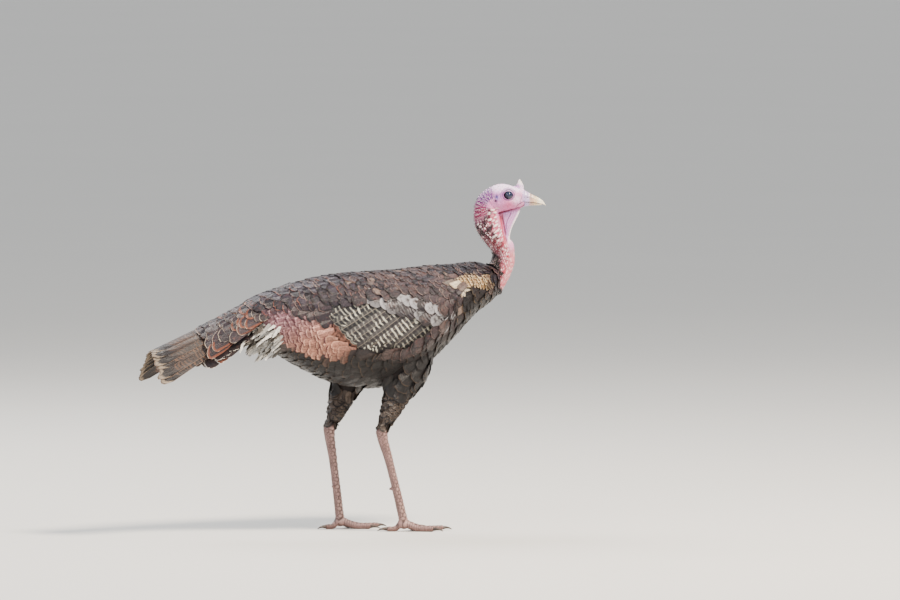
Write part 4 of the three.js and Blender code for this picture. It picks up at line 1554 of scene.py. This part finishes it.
def lay(coat, skin, roots, sizes, seed):
    """Lays body feathers from their roots along the flow."""
    points, gap = roots.points, roots.gap
    x, y, z = points.T
    chance = luck(*points.T)
    thigh = smooth(z, 262, 235) * smooth(np.abs(y), 20, 34) * smooth(x, -110, -90)
    flow = mix(body_flow(points), np.array([-0.45, 0.0, -0.9]), thigh)
    flow[:, 1] += 0.16 * (luck(chance * 7) - 0.5)
    flow[:, 2] += 0.22 * (luck(chance * 11) - 0.5)
    out = outward(skin, points)
    flow -= UP * 1.5 * smooth(-(flow * out).sum(1), 0.45, 0.95)[:, None]
    flow = unit(flow - out * (flow * out).sum(1)[:, None])
    rump = smooth(x, -150, -230) * smooth(z, 335, 352)
    length = gap * sizes.length_share * (0.85 + 0.35 * chance) * (1 + 0.5 * rump)
    width = gap * sizes.width_share * (0.85 + 0.25 * luck(chance * 3))
    place, normal = drape(skin, points, flow, length, 9)
    full = np.minimum(coat_mm(), 0.9 + 0.42 * np.maximum(gap, 7.0))
    low = full * (0.5 + 0.22 * salmon_patch(x, z)) - SKIN_LEAST
    high = full * (0.9 + 0.17 * luck(chance * 19))
    blades, length = vanes(place, normal, width, low, high, seed, round_tip=0.12)
    coat.add(blades, length, width, coat_paint(points, chance), body_unwrap(points, roots.share))


class TURKEY_OT_body_plumage(bpy.types.Operator):
    """Cover the neck base, breast, back and flanks with feathers"""

    bl_idname = "turkey.body_plumage"
    bl_label = "Body plumage"

    def execute(self, context):
        sizes = context.scene.turkey_plumage
        skin = tree_of(bpy.data.objects["skin"])
        roots = body_roots(skin, sizes)
        breast = roots.points[:, 0] > 55
        back = ~breast & ((roots.share < 0.19) | (roots.share > 0.81))
        groups = {"breast": breast, "back": back, "flanks": ~(breast | back)}
        for number, (name, mine) in enumerate(groups.items()):
            coat = Coat()
            lay(coat, skin, roots.kept(mine), sizes, 10 + number)
            coat.piece(f"{name}_feathers", body_feather(), "plumage")
        return {"FINISHED"}


class TURKEY_OT_vent_fluff(bpy.types.Operator):
    """Hang the loose pale fluff of the vent and of the lower face of the tail's root"""

    bl_idname = "turkey.vent_fluff"
    bl_label = "Vent fluff"

    def execute(self, context):
        spots = shell()
        x, _, z = spots.T
        vent = spots[(x < -205) & (z < 318 + 0.25 * (-205 - x)) & (z > 250)]
        coat = Coat()
        tail_root = self.under_tail()
        self.hang_from(coat, spread_out(vent, 3.4), (16, 18), (2.6, 3.0), 0.25, ("#4a433d", "#d3cfc7"))
        self.hang_from(coat, spread_out(tail_root, 4.0), (22, 16), (3.0, 3.5), 0.75, ("#574f49", "#dcd8d0"))
        coat.piece("vent_fluff", material("loose_down", feather_vane, roughness=0.9, shaft=0.0), "plumage")
        return {"FINISHED"}

    def under_tail(self):
        """Places over the lower face of the tail's root."""
        count = np.arange(700)
        s = 0.02 + 0.26 * luck(count, 3)
        q = 2.1 * luck(count, 5) - 1.05
        return under_place(s, q) + UP * (4.0 * np.abs(q) + 2)[:, None]

    def hang_from(self, coat, points, lengths, widths, drop, tones):
        """Hangs tufts whose lengths and widths are each a least size and a spread above it."""
        chance = luck(*points.T)
        away = together(-0.9, 0.5 * (luck(chance * 3) - 0.5), -0.3 - 0.6 * luck(chance * 5))
        place, normal = hang(points, away, lengths[0] + lengths[1] * chance, drop)
        width = widths[0] + widths[1] * luck(chance * 7)
        blades, length = vanes(place, normal, width, 0, 3 + 5 * chance, 33, 0.3, 0.3, 5, 0.16)
        pale = mix(*tones, smooth(luck(chance * 15), 0.15, 0.7))
        paint = {"ground": pale, "edge": pale * 1.1, "rim": pale * 1.2, "edge_mm": 1.0, "rim_mm": 0.4}
        coat.add(blades, length, width, paint, body_unwrap(points, share_round(points)))


class TURKEY_OT_thigh_feathers(bpy.types.Operator):
    """Cover both thighs with short dull feathers down to the hock"""

    bl_idname = "turkey.thigh_feathers"
    bl_label = "Thigh feathers"

    def execute(self, context):
        skin = tree_of(bpy.data.objects["skin"])
        coat = Coat()
        for number, side in enumerate(SIDES):
            thigh = under_coat("thigh_form", (f"thigh_{side}",), 3.0, 6)
            line = self.middle_line(side)
            roots, share, far = rings(tree_of(thigh), line, lambda share: 10.5 - 4.0 * share)
            bpy.data.objects.remove(thigh)
            keep = close_to(skin, roots) & (roots[:, 2] > 163)
            roots, share, far = roots[keep], share[keep], far[keep]
            gap = 10.5 - 4.0 * far / far.max()
            heading = np.tile(unit(line[-1] - line[0]), (len(roots), 1))
            chance = luck(*roots.T)
            width = gap * 1.8
            place, normal = drape(skin, roots, heading, gap * 2.8, 9)
            high = 0.8 + 4.4 * smooth(roots[:, 2], 165, 215) * (0.85 + 0.3 * chance)
            blades, length = vanes(place, normal, width, -0.6, high, 40 + number)
            paint = coat_paint(roots, chance)
            paint["ground"] = mix(paint["ground"], mix("#4a3f3a", "#6b5d52", chance), 0.85)
            paint["rim"] = mix(paint["rim"], "#57493d", 0.8)
            bake = together(0.02 + 0.46 * share + 0.5 * number, (roots[:, 2] - 150) / 190)
            coat.add(blades, length, width, paint, bake)
        coat.piece("thigh_feathers", body_feather(), "plumage")
        return {"FINISHED"}

    def middle_line(self, side):
        """The middle line of a thigh, from the hip to the hock."""
        points = to_bird(coordinates(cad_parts[f"thigh_{side}"].data))
        line = []
        for height in (296, 262, 235, 208, 182, 164):
            near = points[np.abs(points[:, 2] - min(height, 250)) < 18]
            line.append([*((near.min(0) + near.max(0)) / 2)[:2], height])
        return np.array(line)


class TURKEY_OT_bristles(bpy.types.Operator):
    """Set the sparse hair-like bristles of the neck, the crown and the ears"""

    bl_idname = "turkey.bristles"
    bl_label = "Bristles"

    def execute(self, context):
        skin = tree_of(bpy.data.objects["skin"])
        sparse, border = self.sparse_roots(), self.border_roots()
        roots = np.concatenate([sparse, border])
        fringe = np.repeat([0.0, 1.0], [len(sparse), len(border)])
        chance = luck(*roots.T)
        away = together(-0.2 - 0.5 * fringe, 0.6 * (luck(chance * 3) - 0.5), -0.7)
        away += (0.9 - 0.5 * fringe)[:, None] * outward(skin, roots)
        place, normal = hang(roots, away, 2.4 + 2.6 * chance + 2.0 * fringe, 0.5, 5)
        width = 0.35 + 0.15 * chance + 0.5 * fringe
        blades, length = vanes(place, normal, width, 0, 0, 210, 0.5, 0.0, 3, 0.02)
        dark = linear("#1b1214") * np.ones_like(roots)
        paint = {"ground": dark, "edge": dark, "rim": dark, "edge_mm": 0.0, "rim_mm": 0.0}
        coat = Coat()
        bake = together(0.05 + 0.9 * (roots[:, 0] - 105) / 100, 0.05 + 0.9 * (roots[:, 2] - 400) / 135)
        coat.add(blades, length, width, paint, bake)
        made = material("dark_bristle", feather_vane, roughness=0.5, shaft=0.0)
        coat.piece("neck_bristles", made, "neck_skin")
        return {"FINISHED"}

    def border_roots(self):
        """A fringe over the edge of the bare neck, thinner away from the feathers."""
        spots = shell()
        past_edge = spots[:, 0] - bare_from(spots[:, 2])
        near = (spots[:, 2] > 352) & (spots[:, 2] < 411) & (past_edge > -1.5) & (past_edge < 5.5)
        spots, past_edge = spots[near], past_edge[near]
        return spread_out(spots[luck(*spots.T) > 0.25 + 0.12 * past_edge], 1.8)

    def sparse_roots(self):
        """Bristles down the hindneck, over the crown and round the ears."""
        spots = shell()
        spots = spots[(spots[:, 2] > 405) & (spots[:, 0] > bare_from(spots[:, 2]))]
        spots = spots[np.argsort(luck(*spots.T))][:9000]
        f, s, h = to_head(spots)
        behind = smooth(np.abs(round_neck(spots)[1]), 1.6, 0.8) * smooth(h, 6, -10)
        crown = hill(np.hypot(f + 4, 1.5 * s), 0, 16) * smooth(h, 9, 13)
        ear = hill(np.hypot(f - EAR[0], h - EAR[1]), 0, 4) * smooth(np.abs(s), 5, 8)
        share = 0.9 * behind + 0.35 * crown + 0.8 * ear
        return spread_out(spots[luck(spots[:, 1], spots[:, 2]) < share], 3.4)


# ---- Wings -------------------------------------------------------------------------------------
ELBOW = np.array([-78.0, 368.0])  # ends of the forearm in the side view
WRIST = np.array([58.0, 341.0])

# Where the quills end in the side view, from the lowest to the uppermost.
QUILL_TIPS = np.array(
    [(-44, 262), (-68, 264), (-86, 270), (-101, 279), (-116, 291), (-130, 306), (-144, 326), (-158, 348)],
    float,
)

# Rows of coverts above the quills: how far up, length, width, how many, and height over the skin.
COVERT_ROWS = (
    (3.0, 54.0, 22.0, 13, 3.4),
    (9.0, 40.0, 19.0, 14, 4.0),
    (15.0, 30.0, 16.0, 15, 4.4),
    (21.0, 26.0, 14.0, 16, 4.8),
    (27.0, 24.0, 13.0, 17, 5.2),
    (33.0, 24.0, 13.0, 17, 5.6),
)
GREATER_ROWS = 2  # how many of the rows are the long, barred, pale-edged coverts


class TURKEY_OT_wings(bpy.types.Operator):
    """Lay the barred quills and the covert rows of both folded wings"""

    bl_idname = "turkey.wings"
    bl_label = "Wings"

    def execute(self, context):
        count = context.scene.turkey_plumage.remiges
        skin = tree_of(bpy.data.objects["skin"])
        look = {"bars": (7.4, 0.32, "#cdc8b4"), "tipward": 0.0, "ragged": 0.8, "roughness": 0.5}
        quill = material("barred_quill", feather_vane, shaft_colour="#8d8070", shaft=0.7, **look)
        # The covert's glint is a painted bronze sheen.
        look = {"bars": (4.6, 0.5, "#a5a1a2"), "blotch": "#b9b7b6", "glint": ("#6b4a42", 0.5, False)}
        covert = material("wing_covert", feather_vane, edge_soft=3.0, roughness=0.42, bronze=0.1, **look)
        for side, sign in SIDES.items():
            coat = Coat()
            t = np.linspace(1.0, 0.0, count)  # from the wrist's quill, lowest, to the elbow's
            start = ELBOW + (WRIST - ELBOW) * t[:, None]
            marks = np.linspace(0, 1, len(QUILL_TIPS))
            run = start - together(*(np.interp(1 - t, marks, tips) for tips in QUILL_TIPS.T))
            dip, length = np.arctan2(run[:, 1], run[:, 0]), 1.02 * np.hypot(*run.T)
            paint = self.quill_paint(t, luck(t * 97, sign))
            shape = {"width": 26, "low": 0.3 + 1.6 * (1 - t), "high": 1.2 + 1.8 * (1 - t), "round_tip": 0.10}
            self.row(coat, skin, sign, start, dip, length, paint, 18, 50, **shape)
            coat.piece(f"wing_quills_{side}", quill, "wing_feathers", f"wing_{side}")
            coat = Coat()
            for k, (lift, long, wide, number, rise) in enumerate(COVERT_ROWS):
                t = np.linspace(1.04, 0.0, number) + 0.5 / number * (k % 2)
                start = ELBOW + (WRIST - ELBOW) * t[:, None] + [0.32 * lift, lift]
                chance = luck(t * 61, k, sign)
                paint = self.covert_paint(start, chance, k < GREATER_ROWS)
                length = long * (0.92 + 0.16 * chance)
                shape = {"width": wide, "low": rise - 1.4, "high": rise + 0.5 * chance, "round_tip": 0.14}
                self.row(coat, skin, sign, start, np.radians(15 + 20 * t), length, paint, 10, 60 + k, **shape)
            coat.piece(f"wing_coverts_{side}", covert, "wing_feathers")
        return {"FINISHED"}

    def row(self, coat, skin, sign, start, dip, length, paint, rows, seed, width, **shape):
        """Lays one row of wing feathers, from places in the side view."""
        hits = [side_hit(skin, sign, x, z) or (x, sign * 60.0, z) for x, z in start]
        roots = np.array(hits)
        heading = together(-np.cos(dip), 0, -np.sin(dip))
        place, normal = drape(skin, roots, heading, length, rows)
        width = np.full(len(roots), float(width))
        blades, length = vanes(place, normal, width, seed=seed, camber=0.1, waist=0.7, loose=0.02, **shape)
        bake = together(0.03 + 0.94 * (roots[:, 0] + 150) / 230, 0.03 + 0.94 * (roots[:, 2] - 255) / 130)
        coat.add(blades, length, width, paint, bake)

    def quill_paint(self, t, chance):
        return {
            "ground": mix("#120f12", "#2a2426", chance),
            # The dark edge round each quill is painted shadow between the overlapping quills.
            "edge": linear("#0d0a0c") * np.ones((len(t), 3)),
            "rim": mix("#4a423c", "#a39a8a", luck(chance * 9)),
            "barred": 0.1 + 0.9 * smooth(luck(chance * 23), 0.15, 0.75) * smooth(t, 0.0, 0.25),
            "edge_mm": 1.5,
            "rim_mm": 0.4,
        }

    def covert_paint(self, start, chance, greater):
        x, z = start.T
        paint = coat_paint(together(x, 0, z), chance)
        if greater:
            pale = smooth(luck(chance * 17), 0.25, 0.75)
            paint["ground"] = mix(paint["ground"], "#1c171b", 0.8)
            paint["edge"] = mix("#1d181b", "#a29fa1", 0.85 * pale)
            paint["rim"] = mix(paint["rim"], "#4a4344", 0.7)
            paint["edge_mm"] = 3 + 5 * luck(chance * 37)
            paint["rim_mm"] = 0.5
            paint["barred"] = 0.45 * luck(chance * 5)
            paint["blotch"] = 0.5 * pale
        else:
            paint["ground"] = mix(paint["ground"], "#33272f", 0.5 * (1 - pale_spots(x, z)))
            paint["blotch"] = 0.0
        return paint


# ---- Tail --------------------------------------------------------------------------------------
TAIL_ROOT = np.array([-198.0, 371.0])
TAIL_LENGTH = 237.0
TAIL_DROOP = math.radians(23.5)
TAIL_HALF_WIDTH = (30.0, 54.0)  # at the root and at the tip
TAIL_ARCH = (22.0, 52.0)  # how far the sides drop below the middle, at the root and at the tip

# Rows of upper tail coverts: start and end along the fan, how many, width, and height over the fan.
TAIL_COVERT_ROWS = (
    (0.36, 0.63, 11, 30.0, 1.2),
    (0.29, 0.56, 12, 29.0, 1.7),
    (0.22, 0.49, 12, 28.0, 2.2),
    (0.15, 0.42, 13, 27.0, 2.7),
    (0.08, 0.35, 13, 26.0, 3.2),
    (0.01, 0.28, 13, 25.0, 3.6),
    (-0.06, 0.21, 13, 24.0, 4.0),
)


def half_width(s):
    return TAIL_HALF_WIDTH[0] + (TAIL_HALF_WIDTH[1] - TAIL_HALF_WIDTH[0]) * s


def arch(s):
    return TAIL_ARCH[0] + (TAIL_ARCH[1] - TAIL_ARCH[0]) * s


def tail_place(s, q):
    """A point of the fan's upper face: s along it from root to tip, and q across it from -1 to 1."""
    drop = arch(s) * np.abs(q) ** 1.7
    reach = s * TAIL_LENGTH
    x = TAIL_ROOT[0] - reach * math.cos(TAIL_DROOP) - 0.2 * drop
    z = TAIL_ROOT[1] - reach * math.sin(TAIL_DROOP) - drop
    return together(x, q * half_width(s), z)


def tail_normal(s, q):
    step = 0.01
    ahead = tail_place(s + step, q) - tail_place(s - step, q)
    across = tail_place(s, q + step) - tail_place(s, q - step)
    out = np.cross(across, ahead)
    return unit(out * np.sign(out[..., 2:] + 1e-9))


def under_place(s, q):
    """A point of the lower face of the coverts below the fan."""
    lift = read_off(s, (-0.2, -38), (0, -36), (0.25, -26), (0.5, -13))
    return tail_place(s, q * 0.8) + lift[..., None] * UP


class TURKEY_OT_tail(bpy.types.Operator):
    """Lay the fan of long tail feathers with the large coverts above it and the fluff below"""

    bl_idname = "turkey.tail"
    bl_label = "Tail"

    def execute(self, context):
        look = {"bars": (6.5, 0.45, "#6a4a34"), "tip": (30.0, "#100c0d", 8.0, "#93806a"), "roughness": 0.45}
        quill = material(
            "banded_tail_quill", feather_vane, ragged=0.8, tipward=0.0, shaft_colour="#1b1411", **look
        )
        # The covert's glint is a painted bronze sheen.
        look = {"bronze": 0.15, "roughness": 0.4, "glint": ("#6a4136", 0.4, False)}
        covert = material("tail_covert", feather_vane, ragged=2.0, tipward=0.07, **look)
        fan, above, below = Coat(), Coat(), Coat()
        self.lay_fan(fan, context.scene.turkey_plumage.rectrices)
        fan.piece("tail_quills", quill, "tail_feathers", "tail")
        self.lay_above(above)
        above.piece("tail_covert_feathers", covert, "tail_feathers", "tail_coverts_upper")
        self.lay_below(below)
        self.lay_sides(below)
        below.piece("under_tail_feathers", covert, "tail_feathers", "tail_coverts_lower")
        return {"FINISHED"}

    def lay_fan(self, coat, count):
        """The long quills, the outer ones first and lowest."""
        q = np.linspace(-0.93, 0.93, count)
        q = q[np.argsort(-np.abs(q))]
        chance = luck(q * 41)
        level = np.abs(q)
        end = 0.988 - 0.045 * level**2 - 0.02 * chance
        height = (-6.5 + 5.0 * (1 - level), -5.0 + 5.5 * (1 - level) - 1.2 * chance)
        paint = {
            "ground": mix("#1a1413", "#40312b", luck(chance * 7)),
            "rim": mix("#2a201c", "#8a6c58", luck(chance * 19)),
            "barred": 0.15 + 0.75 * chance,
            "edge_mm": 1.6,
            "rim_mm": 0.5,
        }
        # The darker edge is painted shadow where the quills overlap.
        paint["edge"] = paint["ground"] * 0.35
        self.lay(coat, (0 * q, end), (q * 0.86, q), 27, height, paint, 22, 80, 0.10)

    def lay_above(self, coat):
        """Rows of large coverts over the fan, from the rearmost row to the rump."""
        for k, (start, end, number, wide, rise) in enumerate(TAIL_COVERT_ROWS):
            q = np.linspace(-0.98, 0.98, number) + (0.5 * (k % 2)) / number
            chance = luck(q * 57, k)
            q = np.clip(q + 0.09 * (luck(chance * 3) - 0.5), -1.02, 1.02)
            begin = start + 0.09 * (luck(chance * 61) - 0.5)
            finish = end + begin - start - 0.03 * np.abs(q)
            across = (q, q + 0.1 * (luck(chance * 5) - 0.5))
            width = wide * (0.85 + 0.3 * luck(chance * 71))
            height = (rise - 2.6, rise - 0.4 * chance)
            self.lay(coat, (begin, finish), across, width, height, self.covert_paint(chance, q), 11, 90 + k)

    def lay_below(self, coat):
        """Rows of coverts under the fan, which turn to pale fluff towards the vent."""
        for k in range(6):
            q = np.linspace(-1, 1, 8) + (0.5 * (k % 2)) / 8
            chance = luck(q * 37, k)
            start = 0.28 - 0.09 * k + 0 * q
            paint = self.covert_paint(chance, q)
            fluffy = smooth(start + 0.1 * chance, 0.12, -0.02)
            paint["ground"] = mix(paint["ground"], "#9a9187", fluffy)
            paint["edge"] = mix("#1c1413", "#b9b2a8", fluffy)
            paint["rim"] = mix("#c9b7a6", "#dcd8d0", fluffy)
            height = (-4.0, -0.3 + 0.5 * k)
            self.lay(coat, (start, start + 0.24), (q, q), 27, height, paint, 10, 120 + k, under=True)

    def lay_sides(self, coat):
        """Loose coverts that hang beside the tail's root."""
        for sign in SIDES.values():
            chance = luck(np.arange(16), sign, 9)
            height = 306 - 24 * chance - 12 * luck(chance * 9)
            roots = together(-262 - 46 * chance, sign * (22 + 14 * luck(chance * 3)), height)
            away = together(-0.92, 0.1 * sign, -0.36 - 0.25 * luck(chance * 5))
            place, normal = hang(roots, away, 30 + 12 * luck(chance * 7), 0.1)
            width = 15 + 5 * chance
            blades, length = vanes(place, normal, width, 0, 2, 150, 0.25, 0.15, 7, 0.05)
            paint = self.covert_paint(chance, np.ones_like(chance))
            paint["ground"] = mix(paint["ground"], "#2b1e1c", 0.7)
            paint["rim"] = mix(paint["rim"], "#d8cfc4", 0.8)
            paint["rim_mm"] = 1.3
            coat.add(blades, length, width, paint, together(0.5 + 0.4 * chance, 0.5 + 0.3 * sign))

    def lay(self, coat, along_fan, across_fan, width, height, paint, rows, seed, round_tip=0.16, under=False):
        """Lays feathers along the fan from a start to an end, moving across it too. Each follows the
        fan's arch across its own width."""
        (start, end), (q0, q1) = along_fan, across_fan
        columns = 7
        along, across = vane_shape(rows, columns)
        rng = np.random.default_rng(seed)
        long = (end - start)[:, None]
        width = width + 0 * start
        low, high = ((given + 0 * start)[:, None] for given in height)
        s = (start[:, None] + long * along)[:, :, None] * np.ones(columns)
        q = (q0[:, None] + (q1 - q0)[:, None] * along)[:, :, None]
        half = (0.5 * width[:, None] * (0.6 + 0.4 * smooth(along, 0.0, 0.5)))[:, :, None]
        slope = 1.7 * arch(s) * np.abs(q) ** 0.7
        q = q + half * across / np.hypot(half_width(s), slope)
        tip = round_tip * np.abs(across) ** 2.6 * along[:, None] ** 4
        tip = tip + 0.006 * rng.normal(size=(len(start), rows, columns)) * along[:, None] ** 6
        s = s - long[:, :, None] * tip
        surface, face = (under_place, -1) if under else (tail_place, 1)
        lift = (low + (high - low) * along)[:, :, None] - 0.06 * half * across**2
        points = surface(s, q) + face * tail_normal(s, q) * lift[..., None]
        length = np.linalg.norm(points[:, -1, columns // 2] - points[:, 0, columns // 2], axis=1)
        bake = together(0.05 + 0.9 * start, 0.5 + 0.45 * q0 * (0.5 if under else 1))
        coat.add(points, length, width, paint, bake)

    def covert_paint(self, chance, q):
        bright = smooth(luck(chance * 29), 0.5, 1.0)
        low = smooth(np.abs(q), 0.6, 0.85)
        rim = mix("#3d2a26", "#b3a08e", smooth(luck(chance * 43), 0.3, 1.0))
        return {
            "ground": mix("#181318", "#3d3034", chance),
            "edge": mix("#1e1415", "#6b3824", bright),
            "rim": mix(rim, "#a89888", 0.7 * low),
            "edge_mm": 1.5 + 3.5 * bright,
            "rim_mm": 0.3 + 0.6 * np.maximum(bright, low),
        }


# ---- Stage ---------------------------------------------------------------------------------
class TurkeyStage(bpy.types.PropertyGroup):
    """Where the bird is seen from."""

    azimuth: FloatProperty(
        name="Azimuth",
        description="From the bird's right side towards its head",
        default=math.radians(-22.0),
        subtype="ANGLE",
    )
    elevation: FloatProperty(
        name="Elevation",
        description="The view's height above the horizon",
        default=math.radians(3.0),
        subtype="ANGLE",
    )
    distance: FloatProperty(
        name="Distance",
        description="From the camera to the bird",
        default=15.0,
        unit="LENGTH",
    )
    pixel: FloatProperty(
        name="Pixel",
        description="What one pixel of the picture spans at the bird",
        default=0.00152,
        precision=5,
        unit="LENGTH",
    )
    floor: colour_property("Floor", "Paint of the studio floor", "#d9d6d0")


PICTURE = (900, 600)
BILL_TIP = (58, 0, -16.6)  # forward, left and up of the head
BILL_TIP_PIXEL = (545.9, 205.5)  # where the bill's tip falls in the picture
LAMPS_AIM = Vector((0.0, 0.0, 0.3))

# Name, place from where the lamps aim, size, power and colour.
LAMPS = (
    ("key", Vector((1.2, -1.7, 3.0)), 0.9, 360.0, "#fff1de"),
    ("fill", Vector((-2.6, -1.8, 1.6)), 2.4, 60.0, "#eaf1ff"),
    ("back", Vector((-0.6, 2.4, 2.4)), 1.8, 110.0, "#ffffff"),
)


class TURKEY_OT_stage(bpy.types.Operator):
    """Build the pale studio floor, its soft lights and the camera"""

    bl_idname = "turkey.stage"
    bl_label = "Stage"

    def execute(self, context):
        view = context.scene.turkey_stage
        self.aim_camera(context.scene, view)
        self.light(context.scene)
        turn = np.linspace(0, 2 * np.pi, 65)[:-1]
        reach = np.array([0.0, 2e3, 2e4, 6e5])[:, None]
        disc = together(reach * np.cos(turn), reach * np.sin(turn), -0.05)
        floor = grid_mesh("floor", disc - ORIGIN * [1, 1, 0])
        floor.shade_smooth()
        floor.materials.append(material("floor_paint", floor_paint, colour=view.floor))
        link("floor", floor)
        return {"FINISHED"}

    def aim_camera(self, scene, view):
        """Sets the camera so that the bill's tip falls on its pixel."""
        level = math.cos(view.elevation)
        ahead, aside = math.cos(view.azimuth), math.sin(view.azimuth)
        back = Vector((aside * level, -ahead * level, math.sin(view.elevation)))
        across = Vector((ahead, aside, 0.0))
        right_of_middle = (BILL_TIP_PIXEL[0] - PICTURE[0] / 2) * view.pixel
        above_middle = (PICTURE[1] / 2 - BILL_TIP_PIXEL[1]) * view.pixel
        tip = Vector(to_row(from_head(*BILL_TIP)))
        target = tip - across * right_of_middle - back.cross(across) * above_middle
        lens = bpy.data.cameras.new("camera")
        lens.sensor_width = 36.0
        lens.lens = lens.sensor_width * view.distance / (PICTURE[0] * view.pixel)
        lens.clip_end = 2000.0
        camera = link("camera", lens)
        camera.location = target + back * view.distance
        camera.rotation_euler = (-back).to_track_quat("-Z", "Y").to_euler()
        scene.camera = camera

    def light(self, scene):
        """Lights the bird from a pale sky and three soft lamps."""
        world = bpy.data.worlds.new("studio")
        world.use_nodes = True
        sky = world.node_tree.nodes["Background"]
        sky.inputs["Color"].default_value = rgba("#e9edf2")
        sky.inputs["Strength"].default_value = 1.0
        scene.world = world
        for name, offset, size, power, colour in LAMPS:
            light = bpy.data.lights.new(name, "AREA")
            light.size = size
            light.energy = power
            light.color = linear(colour)
            lamp = link(name, light)
            lamp.location = LAMPS_AIM + offset
            lamp.rotation_euler = (-offset).to_track_quat("-Z", "Y").to_euler()


# ---- The add-on ----------------------------------------------------------------------------
GROUPS = {"turkey_skin": TurkeySkin, "turkey_plumage": TurkeyPlumage, "turkey_stage": TurkeyStage}
STEPS = (
    TURKEY_OT_stage,
    TURKEY_OT_skin,
    TURKEY_OT_eyes,
    TURKEY_OT_bill,
    TURKEY_OT_claws,
    TURKEY_OT_body_plumage,
    TURKEY_OT_vent_fluff,
    TURKEY_OT_thigh_feathers,
    TURKEY_OT_bristles,
    TURKEY_OT_wings,
    TURKEY_OT_tail,
)


class TURKEY_PT_panel(bpy.types.Panel):
    """Lists the steps that build the bird"""

    bl_idname = "TURKEY_PT_panel"
    bl_label = "Wild turkey"
    bl_space_type = "VIEW_3D"
    bl_region_type = "UI"
    bl_category = "Turkey"

    def draw(self, context):
        for step in STEPS:
            self.layout.operator(step.bl_idname)
        for group in GROUPS:
            settings = getattr(context.scene, group)
            for name in settings.__annotations__:
                self.layout.prop(settings, name)


def register():
    for name, group in GROUPS.items():
        bpy.utils.register_class(group)
        setattr(bpy.types.Scene, name, PointerProperty(type=group))
    for made in (*STEPS, TURKEY_PT_panel):
        bpy.utils.register_class(made)


def unregister():
    for made in reversed((*STEPS, TURKEY_PT_panel)):
        bpy.utils.unregister_class(made)
    for name, group in GROUPS.items():
        delattr(bpy.types.Scene, name)
        bpy.utils.unregister_class(group)


def main():
    register()
    for step in STEPS:
        getattr(bpy.ops.turkey, step.bl_idname.removeprefix("turkey."))()


if __name__ == "__main__":
    main()
